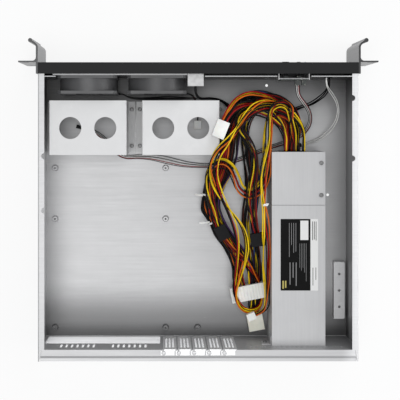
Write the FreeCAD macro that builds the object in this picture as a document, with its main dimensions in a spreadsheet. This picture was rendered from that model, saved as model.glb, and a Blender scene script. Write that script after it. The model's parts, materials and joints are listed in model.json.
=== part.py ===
"""An open 2U rackmount server case: chassis, front panel with ear handles, fans, brackets, power supply
and wiring. Millimetres, +Z up, front towards -Y. Inside this file Y counts rearwards from the front face
of the ears; FRAME_Y moves every piece so that the origin is under the middle of the case."""

import FreeCAD, Part
import math
import os

import Sketcher

V = FreeCAD.Vector
doc = FreeCAD.newDocument("rack_case")

# ---------------------------------------------------------------- driving dimensions
DIMENSIONS = {
    # rack standard and outside of the case
    "rack_width": 482.6,
    "rack_hole_edge": 8.75,
    "rack_hole_pitch_z": 76.2,
    "rack_slot_width": 6.8,
    "rack_slot_length": 10.0,
    "panel_height": 88.1,
    "panel_sheet": 1.2,
    "panel_setback": 2.0,
    "panel_rim": 15.3,
    "panel_return": 10.0,
    "rim_gap": 0.1,
    "case_sheet": 1.0,
    "case_length": 403.5,
    "flange_width": 8.5,
    "bend_radius": 1.6,
    "notch_radius": 4.0,
    # ear handles, one aluminium extrusion each
    "ear_flange": 26.3,
    "ear_metal": 2.6,
    "ear_plate": 2.0,
    "ear_leg": 17.3,
    "ear_root_radius": 5.0,
    "handle_stem": 18.0,
    "handle_bend_radius": 5.0,
    "handle_bend_angle": 55.0,
    "handle_tip_length": 7.6,
    "handle_bead_radius": 2.8,
    # rear wall
    "rear_wall_y": 387.6,
    "rear_sheet": 1.0,
    "ledge_depth": 8.2,
    "ledge_step": 3.6,
    "ledge_drop": 2.6,
    "corner_gap": 0.6,
    "io_step": 70.5,
    "io_width": 158.75,
    "io_height": 44.45,
    "io_bottom": 4.5,
    "slot_pitch": 20.32,
    "slot_step": 163.1,
    "slot_count": 5,
    "slot_window_width": 15.0,
    "slot_window_bottom": 12.0,
    "slot_window_top": 80.0,
    "vent_width": 3.0,
    "vent_length": 20.0,
    "vent_pitch": 7.4,
    "vent_bottom": 52.0,
    "vent_inset": 27.8,
    "vent_group_pitch": 70.6,
    "vent_count": 7,
    "vent_hole": 4.0,
    "vent_hole_pitch": 6.8,
    "vent_hole_count": 20,
    "vent_hole_z": 70.0,
    "vent_hole_inset": 18.8,
    # expansion slot covers
    "cover_sheet": 0.9,
    "cover_width": 18.4,
    "cover_bottom": 8.0,
    "cover_tab": 7.0,
    "cover_tab_offset": 3.0,
    "cover_vent_width": 2.4,
    "cover_vent_pitch": 4.6,
    "cover_vent_bottom": 22.0,
    "cover_vent_top": 76.0,
    # front wall and fan plate
    "front_wall_y": 20.2,
    "front_sheet": 1.0,
    "lead_hole_inset": 36.0,
    "lead_hole_z": 60.0,
    "lead_hole_length": 20.0,
    "lead_hole_width": 12.0,
    "fan_plate_y": 17.8,
    "fan_plate_sheet": 1.2,
    "fan_plate_margin": 6.0,
    "fan_plate_height": 83.5,
    "fan_window_margin": 2.0,
    # 80 mm fans
    "fan_size": 80.0,
    "fan_depth": 25.0,
    "fan_flange": 4.0,
    "fan_duct_radius": 38.0,
    "fan_hole_pitch": 71.5,
    "fan_hole_radius": 2.2,
    "fan_hub_radius": 18.0,
    "fan_tip_gap": 1.0,
    "fan_centre_z": 43.2,
    "fan_inset": 64.5,
    "fan_spacing": 94.0,
    # drive brackets
    "bracket_width": 105.2,
    "bracket_depth": 74.0,
    "bracket_top": 70.0,
    "bracket_sheet": 1.2,
    "bracket_foot": 9.6,
    "bracket_front_y": 52.9,
    "bracket_wall_gap": 2.3,
    "bracket_spacing": 126.3,
    "bracket_hole_radius": 15.0,
    "bracket_hole_pitch": 47.6,
    "bracket_screw_pitch": 52.0,
    "drive_hole_pitch": 41.6,
    # motherboard bosses pressed up from the floor
    "boss_height": 6.0,
    "boss_radius": 4.6,
    "boss_taper": 12.0,
    "boss_hole_radius": 1.5,
    "board_row_front": 147.5,
    "board_row_middle": 219.9,
    "board_row_rear": 374.8,
    "board_inset": 12.7,
    "board_step_middle": 157.5,
    "board_step_slot": 203.2,
    "board_step_right": 281.9,
    # pan head screws
    "screw_radius": 1.45,
    "screw_head_radius": 2.9,
    "screw_head": 1.9,
    "screw_length": 2.0,
    "ear_screw_length": 4.0,
    # cable ties
    "tie_gap": 0.15,
    "tie_strap": 0.8,
    "tie_width": 2.5,
    # power supply
    "psu_wall_gap": 39.5,
    "psu_width": 73.0,
    "psu_top": 62.0,
    "psu_bay_front_y": 123.0,
    "psu_bay_length": 72.5,
    "psu_seam": 0.5,
    "psu_sheet": 1.0,
    "psu_window_width": 33.0,
    "psu_window_bottom": 6.0,
    "psu_window_top": 58.0,
    "psu_land": 6.0,
    "psu_lip": 2.2,
    "psu_fan_edge": 23.0,
    "psu_fan_z": 31.5,
    "psu_fan_size": 40.0,
    "psu_fan_depth": 15.0,
    "psu_fan_duct_radius": 18.6,
    "psu_fan_hub_radius": 9.5,
    "psu_fan_tip_gap": 0.8,
    "psu_socket_edge": 16.0,
    "inlet_z": 19.0,
    "inlet_width": 24.0,
    "inlet_height": 17.0,
    "inlet_depth": 18.0,
    "rocker_z": 44.0,
    "rocker_width": 15.0,
    "rocker_height": 11.0,
    # side rail bracket on the floor
    "rail_wall_gap": 3.45,
    "rail_front_y": 280.6,
    "rail_length": 80.7,
    "rail_width": 15.5,
    "rail_top": 10.8,
    "rail_hole_pitch": 33.2,
    # front controls and ports
    "control_inset": 85.0,
    "control_board_width": 42.0,
    "control_board_height": 26.0,
    "control_board_bottom": 57.0,
    "control_board_y": 24.4,
    "power_step": 10.0,
    "reset_step": 8.0,
    "control_z": 70.0,
    "power_radius": 5.0,
    "reset_radius": 2.5,
    "button_gap": 0.3,
    "button_proud": 1.4,
    "led_step": 16.5,
    "led_radius": 1.5,
    "led_pitch": 7.0,
    "port_step": 52.3,
    "port_width": 14.5,
    "port_height": 16.0,
    "port_bottom": 60.0,
    "port_length": 17.0,
    "port_bracket_width": 21.5,
    "port_bracket_top": 80.0,
    "port_bracket_rear_y": 33.7,
    "port_bracket_gap": 0.5,
}

table = doc.addObject("Spreadsheet::Sheet", "d")
for row, (alias, value) in enumerate(DIMENSIONS.items(), start=1):
    table.set(f"A{row}", alias)
    table.set(f"B{row}", str(value))
    table.setAlias(f"B{row}", alias)
doc.recompute()


def size(name):
    """The value of one driving dimension."""
    return float(table.get(name))


# Sizes that follow from the driving ones, as expressions on the sheet.
BODY_TOP = "(d.panel_height - d.panel_sheet - d.rim_gap)"
BODY_WIDTH = "(d.rack_width - 2 * d.ear_flange)"
HALF_BODY = "(d.rack_width / 2 - d.ear_flange)"
HALF_INSIDE = "(d.rack_width / 2 - d.ear_flange - d.case_sheet)"
BODY_FRONT = "(d.panel_setback + d.panel_sheet)"
HANDLE_REACH = (
    "(d.handle_stem + (d.handle_bend_radius + d.ear_metal / 2) * sin(d.handle_bend_angle * 1 deg)"
    " + d.handle_tip_length * cos(d.handle_bend_angle * 1 deg) + d.handle_bead_radius)"
)
FRAME_Y = f"(({HANDLE_REACH} - d.case_length) / 2)"
FLOOR = "d.case_sheet"
PSU_RIGHT = f"(d.psu_wall_gap - {HALF_INSIDE})"
PSU_LEFT = f"({PSU_RIGHT} + d.psu_width)"
PSU_CENTRE_X = f"({PSU_RIGHT} + d.psu_width / 2)"
PSU_FAN_X = f"({PSU_LEFT} - d.psu_fan_edge)"
PSU_SOCKET_X = f"({PSU_RIGHT} + d.psu_socket_edge)"
PSU_SEAM_Y = "(d.psu_bay_front_y + d.psu_bay_length)"
PSU_REAR_Y = "(d.rear_wall_y - d.psu_sheet)"
ANGLE_SCREW = (f"{PSU_LEFT} + 8", "46")


def worked_out(expression):
    """The number that an expression on the sheet gives."""
    result = table.evalExpression(str(expression).replace("d.", ""))
    return float(getattr(result, "Value", result))


def bind(thing, **expressions):
    for name, expression in expressions.items():
        thing.setExpression(name, str(expression))


# Places across the case. What stands on the left is measured from the left wall, and the supply, the
# controls and their neighbours from the right wall.
FAN_LEFT_X = f"({HALF_INSIDE} - d.fan_inset)"
FAN_RIGHT_X = f"({FAN_LEFT_X} - d.fan_spacing)"
PORT_X = f"({FAN_RIGHT_X} - d.port_step)"
BRACKET_LEFT_X = f"({HALF_INSIDE} - d.bracket_wall_gap - d.bracket_foot - d.bracket_width / 2)"
BRACKET_RIGHT_X = f"({BRACKET_LEFT_X} - d.bracket_spacing)"
BOARD_LEFT_X = f"({HALF_INSIDE} - d.board_inset)"
BOARD_MIDDLE_X = f"({BOARD_LEFT_X} - d.board_step_middle)"
BOARD_SLOT_X = f"({BOARD_LEFT_X} - d.board_step_slot)"
BOARD_RIGHT_X = f"({BOARD_LEFT_X} - d.board_step_right)"
IO_X = f"({BOARD_LEFT_X} - d.io_step)"
SLOT_X = f"({BOARD_LEFT_X} - d.slot_step)"
VENT_X = f"({HALF_INSIDE} - d.vent_inset)"
VENT_HOLE_X = f"(d.vent_hole_inset - {HALF_INSIDE})"
RAIL_X = f"(d.rail_wall_gap + d.rail_width / 2 - {HALF_INSIDE})"
LEAD_HOLE_X = f"(d.lead_hole_inset - {HALF_INSIDE})"
CONTROL_X = f"(d.control_inset - {HALF_INSIDE})"
POWER_X = f"({CONTROL_X} + d.power_step)"
RESET_X = f"({CONTROL_X} - d.reset_step)"
LED_X = f"({CONTROL_X} - d.led_step)"


# ---------------------------------------------------------------- helpers
finished = []


def finish(thing, label, x="0", y="0", z="0", turn=None):
    """Name a sub-part and place it in the case; y counts from the front face of the ears."""
    thing.Label = label
    if turn is not None:
        thing.Placement = FreeCAD.Placement(V(), turn)
    thing.setExpression("Placement.Base.x", str(x))
    thing.setExpression("Placement.Base.y", f"{FRAME_Y} + ({y})")
    thing.setExpression("Placement.Base.z", str(z))
    finished.append(thing)
    return thing


def finish_shape(shape, label):
    """A sub-part whose shape is worked out here from the sheet's values."""
    thing = doc.addObject("Part::Feature", label)
    thing.Shape = shape
    return finish(thing, label)


def new_body(name):
    return doc.addObject("PartDesign::Body", name)


def new_sketch(body, name, plane, height="0"):
    """A sketch on one of the body's own origin planes, moved along the plane's normal."""
    sketch = body.newObject("Sketcher::SketchObject", name)
    origin = [f for f in body.Origin.OriginFeatures if f.Role == plane][0]
    sketch.AttachmentSupport = [(origin, "")]
    sketch.MapMode = "FlatFace"
    sketch.setExpression("AttachmentOffset.Base.z", str(height))
    return sketch


def hold(sketch, kind, name, expression, *where):
    """A dimension from the sketch's origin or of one curve, bound to the sheet."""
    index = sketch.addConstraint(Sketcher.Constraint(kind, *where, worked_out(expression)))
    sketch.renameConstraint(index, name)
    sketch.setExpression(f"Constraints.{name}", str(expression))


def outline(sketch, points):
    """A closed outline of straight lines; each corner is a pair of expressions."""
    first = sketch.GeometryCount
    corners = [V(worked_out(a), worked_out(b), 0) for a, b in points]
    count = len(corners)
    for i in range(count):
        sketch.addGeometry(Part.LineSegment(corners[i], corners[(i + 1) % count]), False)
    for i in range(count):
        after = first + (i + 1) % count
        sketch.addConstraint(Sketcher.Constraint("Coincident", first + i, 2, after, 1))
    for i, (a, b) in enumerate(points):
        hold(sketch, "DistanceX", f"x{first + i}", a, -1, 1, first + i, 1)
        hold(sketch, "DistanceY", f"y{first + i}", b, -1, 1, first + i, 1)


def rectangle(sketch, x0, y0, x1, y1):
    outline(sketch, [(x0, y0), (x1, y0), (x1, y1), (x0, y1)])


def circle(sketch, x, y, radius):
    centre = V(worked_out(x), worked_out(y), 0)
    i = sketch.addGeometry(Part.Circle(centre, V(0, 0, 1), worked_out(radius)), False)
    hold(sketch, "DistanceX", f"x{i}", x, -1, 1, i, 3)
    hold(sketch, "DistanceY", f"y{i}", y, -1, 1, i, 3)
    hold(sketch, "Radius", f"r{i}", radius, i)


def obround(sketch, x, y, length, width, upright=False):
    """A round-ended slot about its centre."""
    half = f"(({length}) - ({width})) / 2"
    ends = [(f"({x}) + {half}", y), (f"({x}) - {half}", y)]
    sides = [(0, -1), (0, 1)]
    if upright:
        ends = [(x, f"({y}) + {half}"), (x, f"({y}) - {half}")]
        sides = [(1, 0), (-1, 0)]
    r = worked_out(f"({width}) / 2")
    centres = [V(worked_out(a), worked_out(b), 0) for a, b in ends]
    sweep = 90 if not upright else 0
    first = sketch.GeometryCount
    for k, centre in enumerate(centres):
        start = math.radians(180 * k - sweep)
        ring = Part.Circle(centre, V(0, 0, 1), r)
        sketch.addGeometry(Part.ArcOfCircle(ring, start, start + math.pi), False)
    across = [V(s[0] * r, s[1] * r, 0) for s in sides]
    sketch.addGeometry(Part.LineSegment(centres[0] + across[1], centres[1] + across[1]), False)
    sketch.addGeometry(Part.LineSegment(centres[1] + across[0], centres[0] + across[0]), False)
    a, b, top, low = first, first + 1, first + 2, first + 3
    for one, end, other, start in ((a, 2, top, 1), (top, 2, b, 1), (b, 2, low, 1), (low, 2, a, 1)):
        sketch.addConstraint(Sketcher.Constraint("Tangent", one, end, other, start))
    for k, (u, v) in enumerate(ends):
        hold(sketch, "DistanceX", f"x{first + k}", u, -1, 1, first + k, 3)
        hold(sketch, "DistanceY", f"y{first + k}", v, -1, 1, first + k, 3)
    hold(sketch, "Radius", f"r{first}", f"({width}) / 2", first)


def pad(body, sketch, name, length):
    feature = body.newObject("PartDesign::Pad", name)
    feature.Profile = sketch
    bind(feature, Length=length)
    doc.recompute()
    return feature


def pocket(body, sketch, name, depth):
    """A cut against the sketch's normal, checked to have taken something away."""
    before = body.Shape.Volume
    feature = body.newObject("PartDesign::Pocket", name)
    feature.Profile = sketch
    bind(feature, Length=depth)
    doc.recompute()
    if feature.Shape.Volume > before - 0.01:
        raise ValueError(f"{name} cuts nothing")
    return feature


def row_of(body, feature, sketch, axis, name, pitch, count, backwards=False):
    """Copies of one feature along an axis of its sketch."""
    pattern = body.newObject("PartDesign::LinearPattern", name)
    pattern.Originals = [feature]
    pattern.Direction = (sketch, [axis])
    pattern.Reversed = backwards
    bind(pattern, Length=f"({pitch}) * (({count}) - 1)", Occurrences=count)
    body.Tip = pattern
    doc.recompute()
    return pattern


def edges_where(shape, test):
    """Names of the edges whose middle and direction pass the test."""
    names = []
    for number, edge in enumerate(shape.Edges, start=1):
        if edge.Curve.TypeId != "Part::GeomLine":
            continue
        start, end = edge.Vertexes[0].Point, edge.Vertexes[-1].Point
        if test((start + end) * 0.5, (end - start)):
            names.append(f"Edge{number}")
    return names


def round_edges(body, name, radius, test):
    base = body.Tip
    names = edges_where(base.Shape, test)
    if not names:
        raise ValueError(f"{name} finds no edge")
    fillet = body.newObject("PartDesign::Fillet", name)
    fillet.Base = (base, names)
    bind(fillet, Radius=radius)
    doc.recompute()
    return fillet


def block(name, x0, x1, y0, y1, z0, z1):
    """A Part::Box between two corners, each given as an expression."""
    box = doc.addObject("Part::Box", name)
    bind(box, Length=f"({x1}) - ({x0})", Width=f"({y1}) - ({y0})", Height=f"({z1}) - ({z0})")
    for axis, low in zip("xyz", (x0, y0, z0)):
        box.setExpression(f"Placement.Base.{axis}", str(low))
    return box


def rod(name, x, y, z, radius, length, axis="y"):
    """A Part::Cylinder that starts at a point and runs along +X, +Y or +Z."""
    cylinder = doc.addObject("Part::Cylinder", name)
    turn = {
        "x": FreeCAD.Rotation(V(0, 1, 0), 90),
        "y": FreeCAD.Rotation(V(1, 0, 0), -90),
        "z": FreeCAD.Rotation(),
    }[axis]
    cylinder.Placement = FreeCAD.Placement(V(), turn)
    bind(cylinder, Radius=radius, Height=length)
    for along, start in zip("xyz", (x, y, z)):
        cylinder.setExpression(f"Placement.Base.{along}", str(start))
    return cylinder


def join(name, parts):
    whole = doc.addObject("Part::MultiFuse", name)
    whole.Shapes = parts
    return whole


def cut(name, base, tools):
    result = doc.addObject("Part::Cut", name)
    result.Base = base
    result.Tool = tools[0] if len(tools) == 1 else join(f"{name}_tools", tools)
    return result


# ---------------------------------------------------------------- base tray
def along_y(middle, span):
    return abs(span.y) > 0.9 * span.Length


def make_base_tray():
    """Floor, side walls and top flanges, folded from one sheet."""
    body = new_body("tray")
    length = f"d.case_length - {BODY_FRONT}"
    side = new_sketch(body, "tray_section", "XZ_Plane", "-d.case_length")
    half, top, t = HALF_BODY, BODY_TOP, "d.case_sheet"
    lip = f"({half} - d.flange_width)"
    outline(side, [
        (f"-{half}", "0"), (half, "0"), (half, top), (lip, top), (lip, f"{top} - {t}"),
        (f"{half} - {t}", f"{top} - {t}"), (f"{half} - {t}", t), (f"-{half} + {t}", t),
        (f"-{half} + {t}", f"{top} - {t}"), (f"-{lip}", f"{top} - {t}"), (f"-{lip}", top),
        (f"-{half}", top),
    ])
    pad(body, side, "tray_sheet", length)
    wide = worked_out(half) - 0.01
    round_edges(body, "outer_bends", "d.bend_radius",
                lambda m, s: along_y(m, s) and abs(m.x) > wide)
    inner = worked_out(f"{half} - {t}")
    round_edges(body, "inner_bends", "d.bend_radius - d.case_sheet",
                lambda m, s: along_y(m, s) and abs(abs(m.x) - inner) < 0.01 and m.z < 5)
    # Half-round notches and the tapered ends of the top flanges.
    notch = new_sketch(body, "flange_notches", "XY_Plane", top)
    for x, y in ((f"-{lip}", "50"), (f"-{lip}", "131"), (lip, "128"), (lip, "201")):
        circle(notch, x, y, "d.notch_radius")
    for sign in ("", "-"):
        outline(notch, [
            (f"{sign}({lip} - 1)", "d.rear_wall_y"),
            (f"{sign}({half} - 4.2)", "d.rear_wall_y"),
            (f"{sign}({half} - 1.7)", "d.case_length + 1"),
            (f"{sign}({lip} - 1)", "d.case_length + 1"),
        ])
    pocket(body, notch, "flange_notch_cuts", t)
    # Board bosses, pressed up from below and tapped.
    bosses = new_sketch(body, "boss_outlines", "XY_Plane", t)
    for x, y in board_bosses():
        circle(bosses, x, y, "d.boss_radius")
    raised = pad(body, bosses, "bosses", "d.boss_height")
    bind(raised, TaperAngle="-d.boss_taper")
    hollows = new_sketch(body, "boss_hollows", "XY_Plane", "d.boss_height")
    for x, y in board_bosses():
        circle(hollows, x, y, "d.boss_radius - 2.2")
    pocket(body, hollows, "boss_hollow_cuts", "d.boss_height + 1")
    holes = new_sketch(body, "boss_holes", "XY_Plane", f"{t} + d.boss_height")
    for x, y in board_bosses():
        circle(holes, x, y, "d.boss_hole_radius")
    pocket(body, holes, "boss_hole_cuts", f"{t} + d.boss_height")
    floor = new_sketch(body, "floor_holes", "XY_Plane", t)
    spare_holes = (
        (f"{CONTROL_X} + 28.3", "d.front_wall_y + 9.5"),
        (f"{PSU_RIGHT} - 13.5", "d.psu_bay_front_y + 63"),
    )
    for x, y in spare_holes:
        circle(floor, x, y, "1.9")
    for x, y in bracket_feet():
        circle(floor, x, y, "d.screw_radius + 0.05")
    pocket(body, floor, "floor_hole_cuts", t)
    walls = new_sketch(body, "ear_screw_holes", "YZ_Plane", f"{half} + 1")
    for y, z in ear_screws():
        circle(walls, y, z, "d.screw_radius + 0.05")
    pocket(body, walls, "ear_screw_cuts", f"{BODY_WIDTH} + 2")
    return finish(body, "base_tray")


def board_bosses():
    """Places of the motherboard's mounting bosses, as columns and rows."""
    rows = ("d.board_row_front", "d.board_row_middle", "d.board_row_rear")
    places = [(x, y) for x in (BOARD_LEFT_X, BOARD_RIGHT_X) for y in rows]
    places += [(BOARD_MIDDLE_X, y) for y in rows]
    places.append((BOARD_SLOT_X, "d.board_row_rear"))
    return places


def bracket_feet():
    """Places of the screws in the feet of both drive brackets."""
    places = []
    for centre in (BRACKET_LEFT_X, BRACKET_RIGHT_X):
        for side in ("-", "+"):
            for end in ("-", "+"):
                x = f"{centre} {side} (d.bracket_width + d.bracket_foot) / 2"
                y = f"d.bracket_front_y + (d.bracket_depth {end} d.bracket_screw_pitch) / 2"
                places.append((x, y))
    return places


def rail_holes():
    """Places of the three holes of the side rail bracket."""
    middle = "d.rail_front_y + d.rail_length / 2"
    return [(RAIL_X, f"{middle} + {k} * d.rail_hole_pitch * 0.7") for k in (-1, 0, 1)]


def ear_screws():
    """Places of the screws that hold each ear handle to the side wall, as y and z."""
    return [("(d.ear_leg + d.ear_plate) / 2", f"d.panel_height / 2 {side} 22") for side in ("-", "+")]


# ---------------------------------------------------------------- rear wall
def make_rear_wall():
    """Rear sheet with its stepped top ledge, windows and vents."""
    body = new_body("rear")
    y, t, top = "d.rear_wall_y", "d.rear_sheet", BODY_TOP
    out, far = f"{y} + d.ledge_depth", "d.case_length"
    bend = f"{out} + d.ledge_step"
    side = new_sketch(body, "rear_section", "YZ_Plane", f"-{HALF_INSIDE}")
    outline(side, [
        (y, FLOOR), (f"{y} + {t}", FLOOR), (f"{y} + {t}", f"{top} - {t}"),
        (out, f"{top} - {t}"), (bend, f"{top} - {t} - d.ledge_drop"),
        (far, f"{top} - {t} - d.ledge_drop"), (far, f"{top} - d.ledge_drop"),
        (bend, f"{top} - d.ledge_drop"), (out, top), (y, top),
    ])
    pad(body, side, "rear_sheet", f"2 * {HALF_INSIDE}")
    # The ledge stops short of the side flanges in a mitre.
    corner = new_sketch(body, "ledge_corners", "XY_Plane", top)
    half = HALF_BODY
    for sign in ("", "-"):
        outline(corner, [
            (f"{sign}({half} - 4.2 - d.corner_gap)", f"{y} - 1"),
            (f"{sign}({half} - 1.7 - d.corner_gap)", f"{far} + 1"),
            (f"{sign}({half} + 1)", f"{far} + 1"),
            (f"{sign}({half} + 1)", f"{y} - 1"),
        ])
    pocket(body, corner, "ledge_corner_cuts", t)
    lower = new_sketch(body, "lip_corners", "XY_Plane", top)
    for sign in ("", "-"):
        outline(lower, [
            (f"{sign}({half} - 4.2 - d.corner_gap)", f"{y} + {t}"),
            (f"{sign}({half} - 1.7 - d.corner_gap)", f"{far} + 1"),
            (f"{sign}({half} + 1)", f"{far} + 1"),
            (f"{sign}({half} + 1)", f"{y} + {t}"),
        ])
    pocket(body, lower, "lip_corner_cuts", f"{t} + d.ledge_drop")
    windows = new_sketch(body, "windows", "XZ_Plane", f"-({y})")
    rectangle(windows, f"{IO_X} - d.io_width / 2", "d.io_bottom",
              f"{IO_X} + d.io_width / 2", "d.io_bottom + d.io_height")
    for k in range(int(size("slot_count"))):
        x = f"({SLOT_X} - {k} * d.slot_pitch)"
        rectangle(windows, f"{x} - d.slot_window_width / 2", "d.slot_window_bottom",
                  f"{x} + d.slot_window_width / 2", "d.slot_window_top")
    right, left = f"({PSU_RIGHT} + d.psu_lip)", f"({PSU_LEFT} - d.psu_lip)"
    low, high = f"{FLOOR} + 4", "d.psu_top - 4"
    land = "d.psu_land"
    outline(windows, [
        (right, low), (f"{left} - {land}", low), (f"{left} - {land}", f"{low} + {land}"),
        (left, f"{low} + {land}"), (left, f"{high} - {land}"), (f"{left} - {land}", f"{high} - {land}"),
        (f"{left} - {land}", high), (f"{right} + {land}", high), (f"{right} + {land}", f"{high} - {land}"),
        (right, f"{high} - {land}"),
    ])
    for x, z in psu_rear_screws() + [ANGLE_SCREW]:
        circle(windows, x, z, "d.screw_radius + 0.05")
    pocket(body, windows, "window_cuts", t)
    ledge = new_sketch(body, "ledge_holes", "XY_Plane", top)
    for x, back in cover_screws():
        circle(ledge, x, back, "d.screw_radius + 0.05")
    pocket(body, ledge, "ledge_hole_cuts", t)
    for group in (0, 1):
        slot = new_sketch(body, f"vent_{group}", "XZ_Plane", f"-({y})")
        obround(slot, f"{VENT_X} - {group} * d.vent_group_pitch", "d.vent_bottom + d.vent_length / 2",
                "d.vent_length", "d.vent_width", upright=True)
        first = pocket(body, slot, f"vent_cut_{group}", t)
        row_of(body, first, slot, "H_Axis", f"vent_row_{group}", "d.vent_pitch", "d.vent_count", True)
    hole = new_sketch(body, "vent_hole", "XZ_Plane", f"-({y})")
    circle(hole, VENT_HOLE_X, "d.vent_hole_z", "d.vent_hole / 2")
    first = pocket(body, hole, "vent_hole_cut", t)
    row_of(body, first, hole, "H_Axis", "vent_hole_row", "d.vent_hole_pitch", "d.vent_hole_count")
    return finish(body, "rear_wall")


def cover_screws():
    """Places of the screws that hold the slot covers' tabs to the ledge."""
    back = "d.rear_wall_y + d.cover_tab / 2 + 0.4"
    return [(f"{SLOT_X} - {k} * d.slot_pitch + d.cover_tab_offset + 5", back)
            for k in range(int(size("slot_count")))]


def make_slot_cover(number):
    """A vented slot blank: upright blade with a tongue, and a tab that lies on the ledge."""
    body = new_body(f"cover{number}")
    t, top = "d.cover_sheet", BODY_TOP
    blade = new_sketch(body, "blade_outline", "XZ_Plane")
    w = "d.cover_width / 2"
    outline(blade, [
        (f"-{w} + 5", "d.cover_bottom - 5"), (f"{w} - 5", "d.cover_bottom - 5"),
        (f"{w} - 4", "d.cover_bottom"), (w, "d.cover_bottom + 4"), (w, f"{top} - 2"),
        (f"{w} - 2", top), (f"-{w} + 2", top), (f"-{w}", f"{top} - 2"),
        (f"-{w}", "d.cover_bottom + 4"), (f"-{w} + 4", "d.cover_bottom"),
    ])
    pad(body, blade, "blade", t)
    tab = new_sketch(body, "tab_outline", "XY_Plane", top)
    left, right = f"d.cover_tab_offset + {w}", f"d.cover_tab_offset - {w}"
    outline(tab, [
        (f"-{w} + 2", f"-{t}"), (f"{w} - 2", f"-{t}"), (f"{w} - 2", "0.6"), (left, "1.4"),
        (left, "d.cover_tab"), (right, "d.cover_tab"), (right, "1.4"), (f"-{w} + 2", "0.6"),
    ])
    pad(body, tab, "tab", t)
    slot = new_sketch(body, "cover_vent", "XZ_Plane", t)
    obround(slot, "-d.cover_vent_pitch", "(d.cover_vent_bottom + d.cover_vent_top) / 2",
            "d.cover_vent_top - d.cover_vent_bottom", "d.cover_vent_width", upright=True)
    first = pocket(body, slot, "cover_vent_cut", t)
    row_of(body, first, slot, "H_Axis", "cover_vents", "d.cover_vent_pitch", "3")
    hole = new_sketch(body, "tab_hole", "XY_Plane", f"{top} + {t}")
    circle(hole, "d.cover_tab_offset + 5", "d.cover_tab / 2 + 0.4", "d.screw_radius + 0.15")
    pocket(body, hole, "tab_hole_cut", t)
    x = f"{SLOT_X} - {number - 1} * d.slot_pitch"
    return finish(body, f"slot_cover_{number}", x, "d.rear_wall_y")


# ---------------------------------------------------------------- front
def fan_centres():
    return (FAN_LEFT_X, FAN_RIGHT_X)


def fan_holes(centre):
    half = "d.fan_hole_pitch / 2"
    return [(f"{centre} {a} {half}", f"d.fan_centre_z {b} {half}") for a in "+-" for b in "+-"]


def make_front_wall():
    """Inner front wall, open where the fans, ports and control board pass through."""
    body = new_body("front")
    t, top = FLOOR, f"{BODY_TOP} - d.case_sheet"
    face = new_sketch(body, "front_outline", "XZ_Plane", "-(d.front_wall_y + d.front_sheet)")
    fan_l = f"{FAN_LEFT_X} + d.fan_size / 2 + d.fan_window_margin"
    fan_r = f"{FAN_RIGHT_X} - d.fan_size / 2 - d.fan_window_margin"
    port_r = f"{PORT_X} - d.port_bracket_width / 2 - 1.5"
    board_l = f"{CONTROL_X} + d.control_board_width / 2 + 2"
    board_r = f"{CONTROL_X} - d.control_board_width / 2 - 2"
    low = "d.control_board_bottom - 6"
    corner = "(d.bend_radius - d.case_sheet + 0.1)"
    outline(face, [
        (f"-{HALF_INSIDE}", f"{t} + {corner}"), (f"-{HALF_INSIDE} + {corner}", t),
        (f"{HALF_INSIDE} - {corner}", t), (HALF_INSIDE, f"{t} + {corner}"),
        (HALF_INSIDE, top), (fan_l, top), (fan_l, f"{t} + 2"),
        (fan_r, f"{t} + 2"), (fan_r, "d.port_bottom - 4"), (port_r, "d.port_bottom - 4"), (port_r, top),
        (board_l, top), (board_l, low), (board_r, low), (board_r, top), (f"-{HALF_INSIDE}", top),
    ])
    pad(body, face, "front_sheet", "d.front_sheet")
    hole = new_sketch(body, "lead_hole", "XZ_Plane", "-d.front_wall_y")
    obround(hole, LEAD_HOLE_X, "d.lead_hole_z", "d.lead_hole_length", "d.lead_hole_width", upright=True)
    pocket(body, hole, "lead_hole_cut", "d.front_sheet")
    return finish(body, "front_wall")


def make_fan_plate():
    """Plate in front of the fan window, with a top flange and side returns that meet the front wall."""
    body = new_body("fanplate")
    y, t = "d.fan_plate_y", "d.fan_plate_sheet"
    left = f"{FAN_LEFT_X} + d.fan_size / 2 + d.fan_plate_margin"
    right = f"{FAN_RIGHT_X} - d.fan_size / 2 - d.fan_plate_margin + 2"
    side = new_sketch(body, "plate_section", "YZ_Plane", right)
    outline(side, [
        (y, FLOOR), (f"{y} + {t}", FLOOR), (f"{y} + {t}", "d.fan_plate_height"),
        (f"{y} - 4", "d.fan_plate_height"), (f"{y} - 4", f"d.fan_plate_height - {t}"),
        (y, f"d.fan_plate_height - {t}"),
    ])
    pad(body, side, "plate", f"({left}) - ({right})")
    returns = new_sketch(body, "returns", "XY_Plane", FLOOR)
    rectangle(returns, f"{left} - {t}", f"{y} + {t} / 2", left, "d.front_wall_y")
    rectangle(returns, right, f"{y} + {t} / 2", f"{right} + {t}", "d.front_wall_y")
    pad(body, returns, "return_pads", f"d.port_bottom - 6 - {FLOOR}")
    holes = new_sketch(body, "fan_openings", "XZ_Plane", f"-({y})")
    for centre in fan_centres():
        circle(holes, centre, "d.fan_centre_z", "d.fan_duct_radius")
        for x, z in fan_holes(centre):
            circle(holes, x, z, "d.fan_hole_radius")
    pocket(body, holes, "fan_opening_cuts", t)
    corner = new_sketch(body, "hood_corner", "XZ_Plane", f"-({y} - 5)")
    rectangle(corner, f"{right} - 1", "d.port_bottom - 4",
              f"{PORT_X} + d.port_bracket_width / 2 + d.port_bracket_gap", "d.fan_plate_height + 1")
    pocket(body, corner, "hood_corner_cut", f"{t} + 6")
    return finish(body, "fan_plate")


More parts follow.
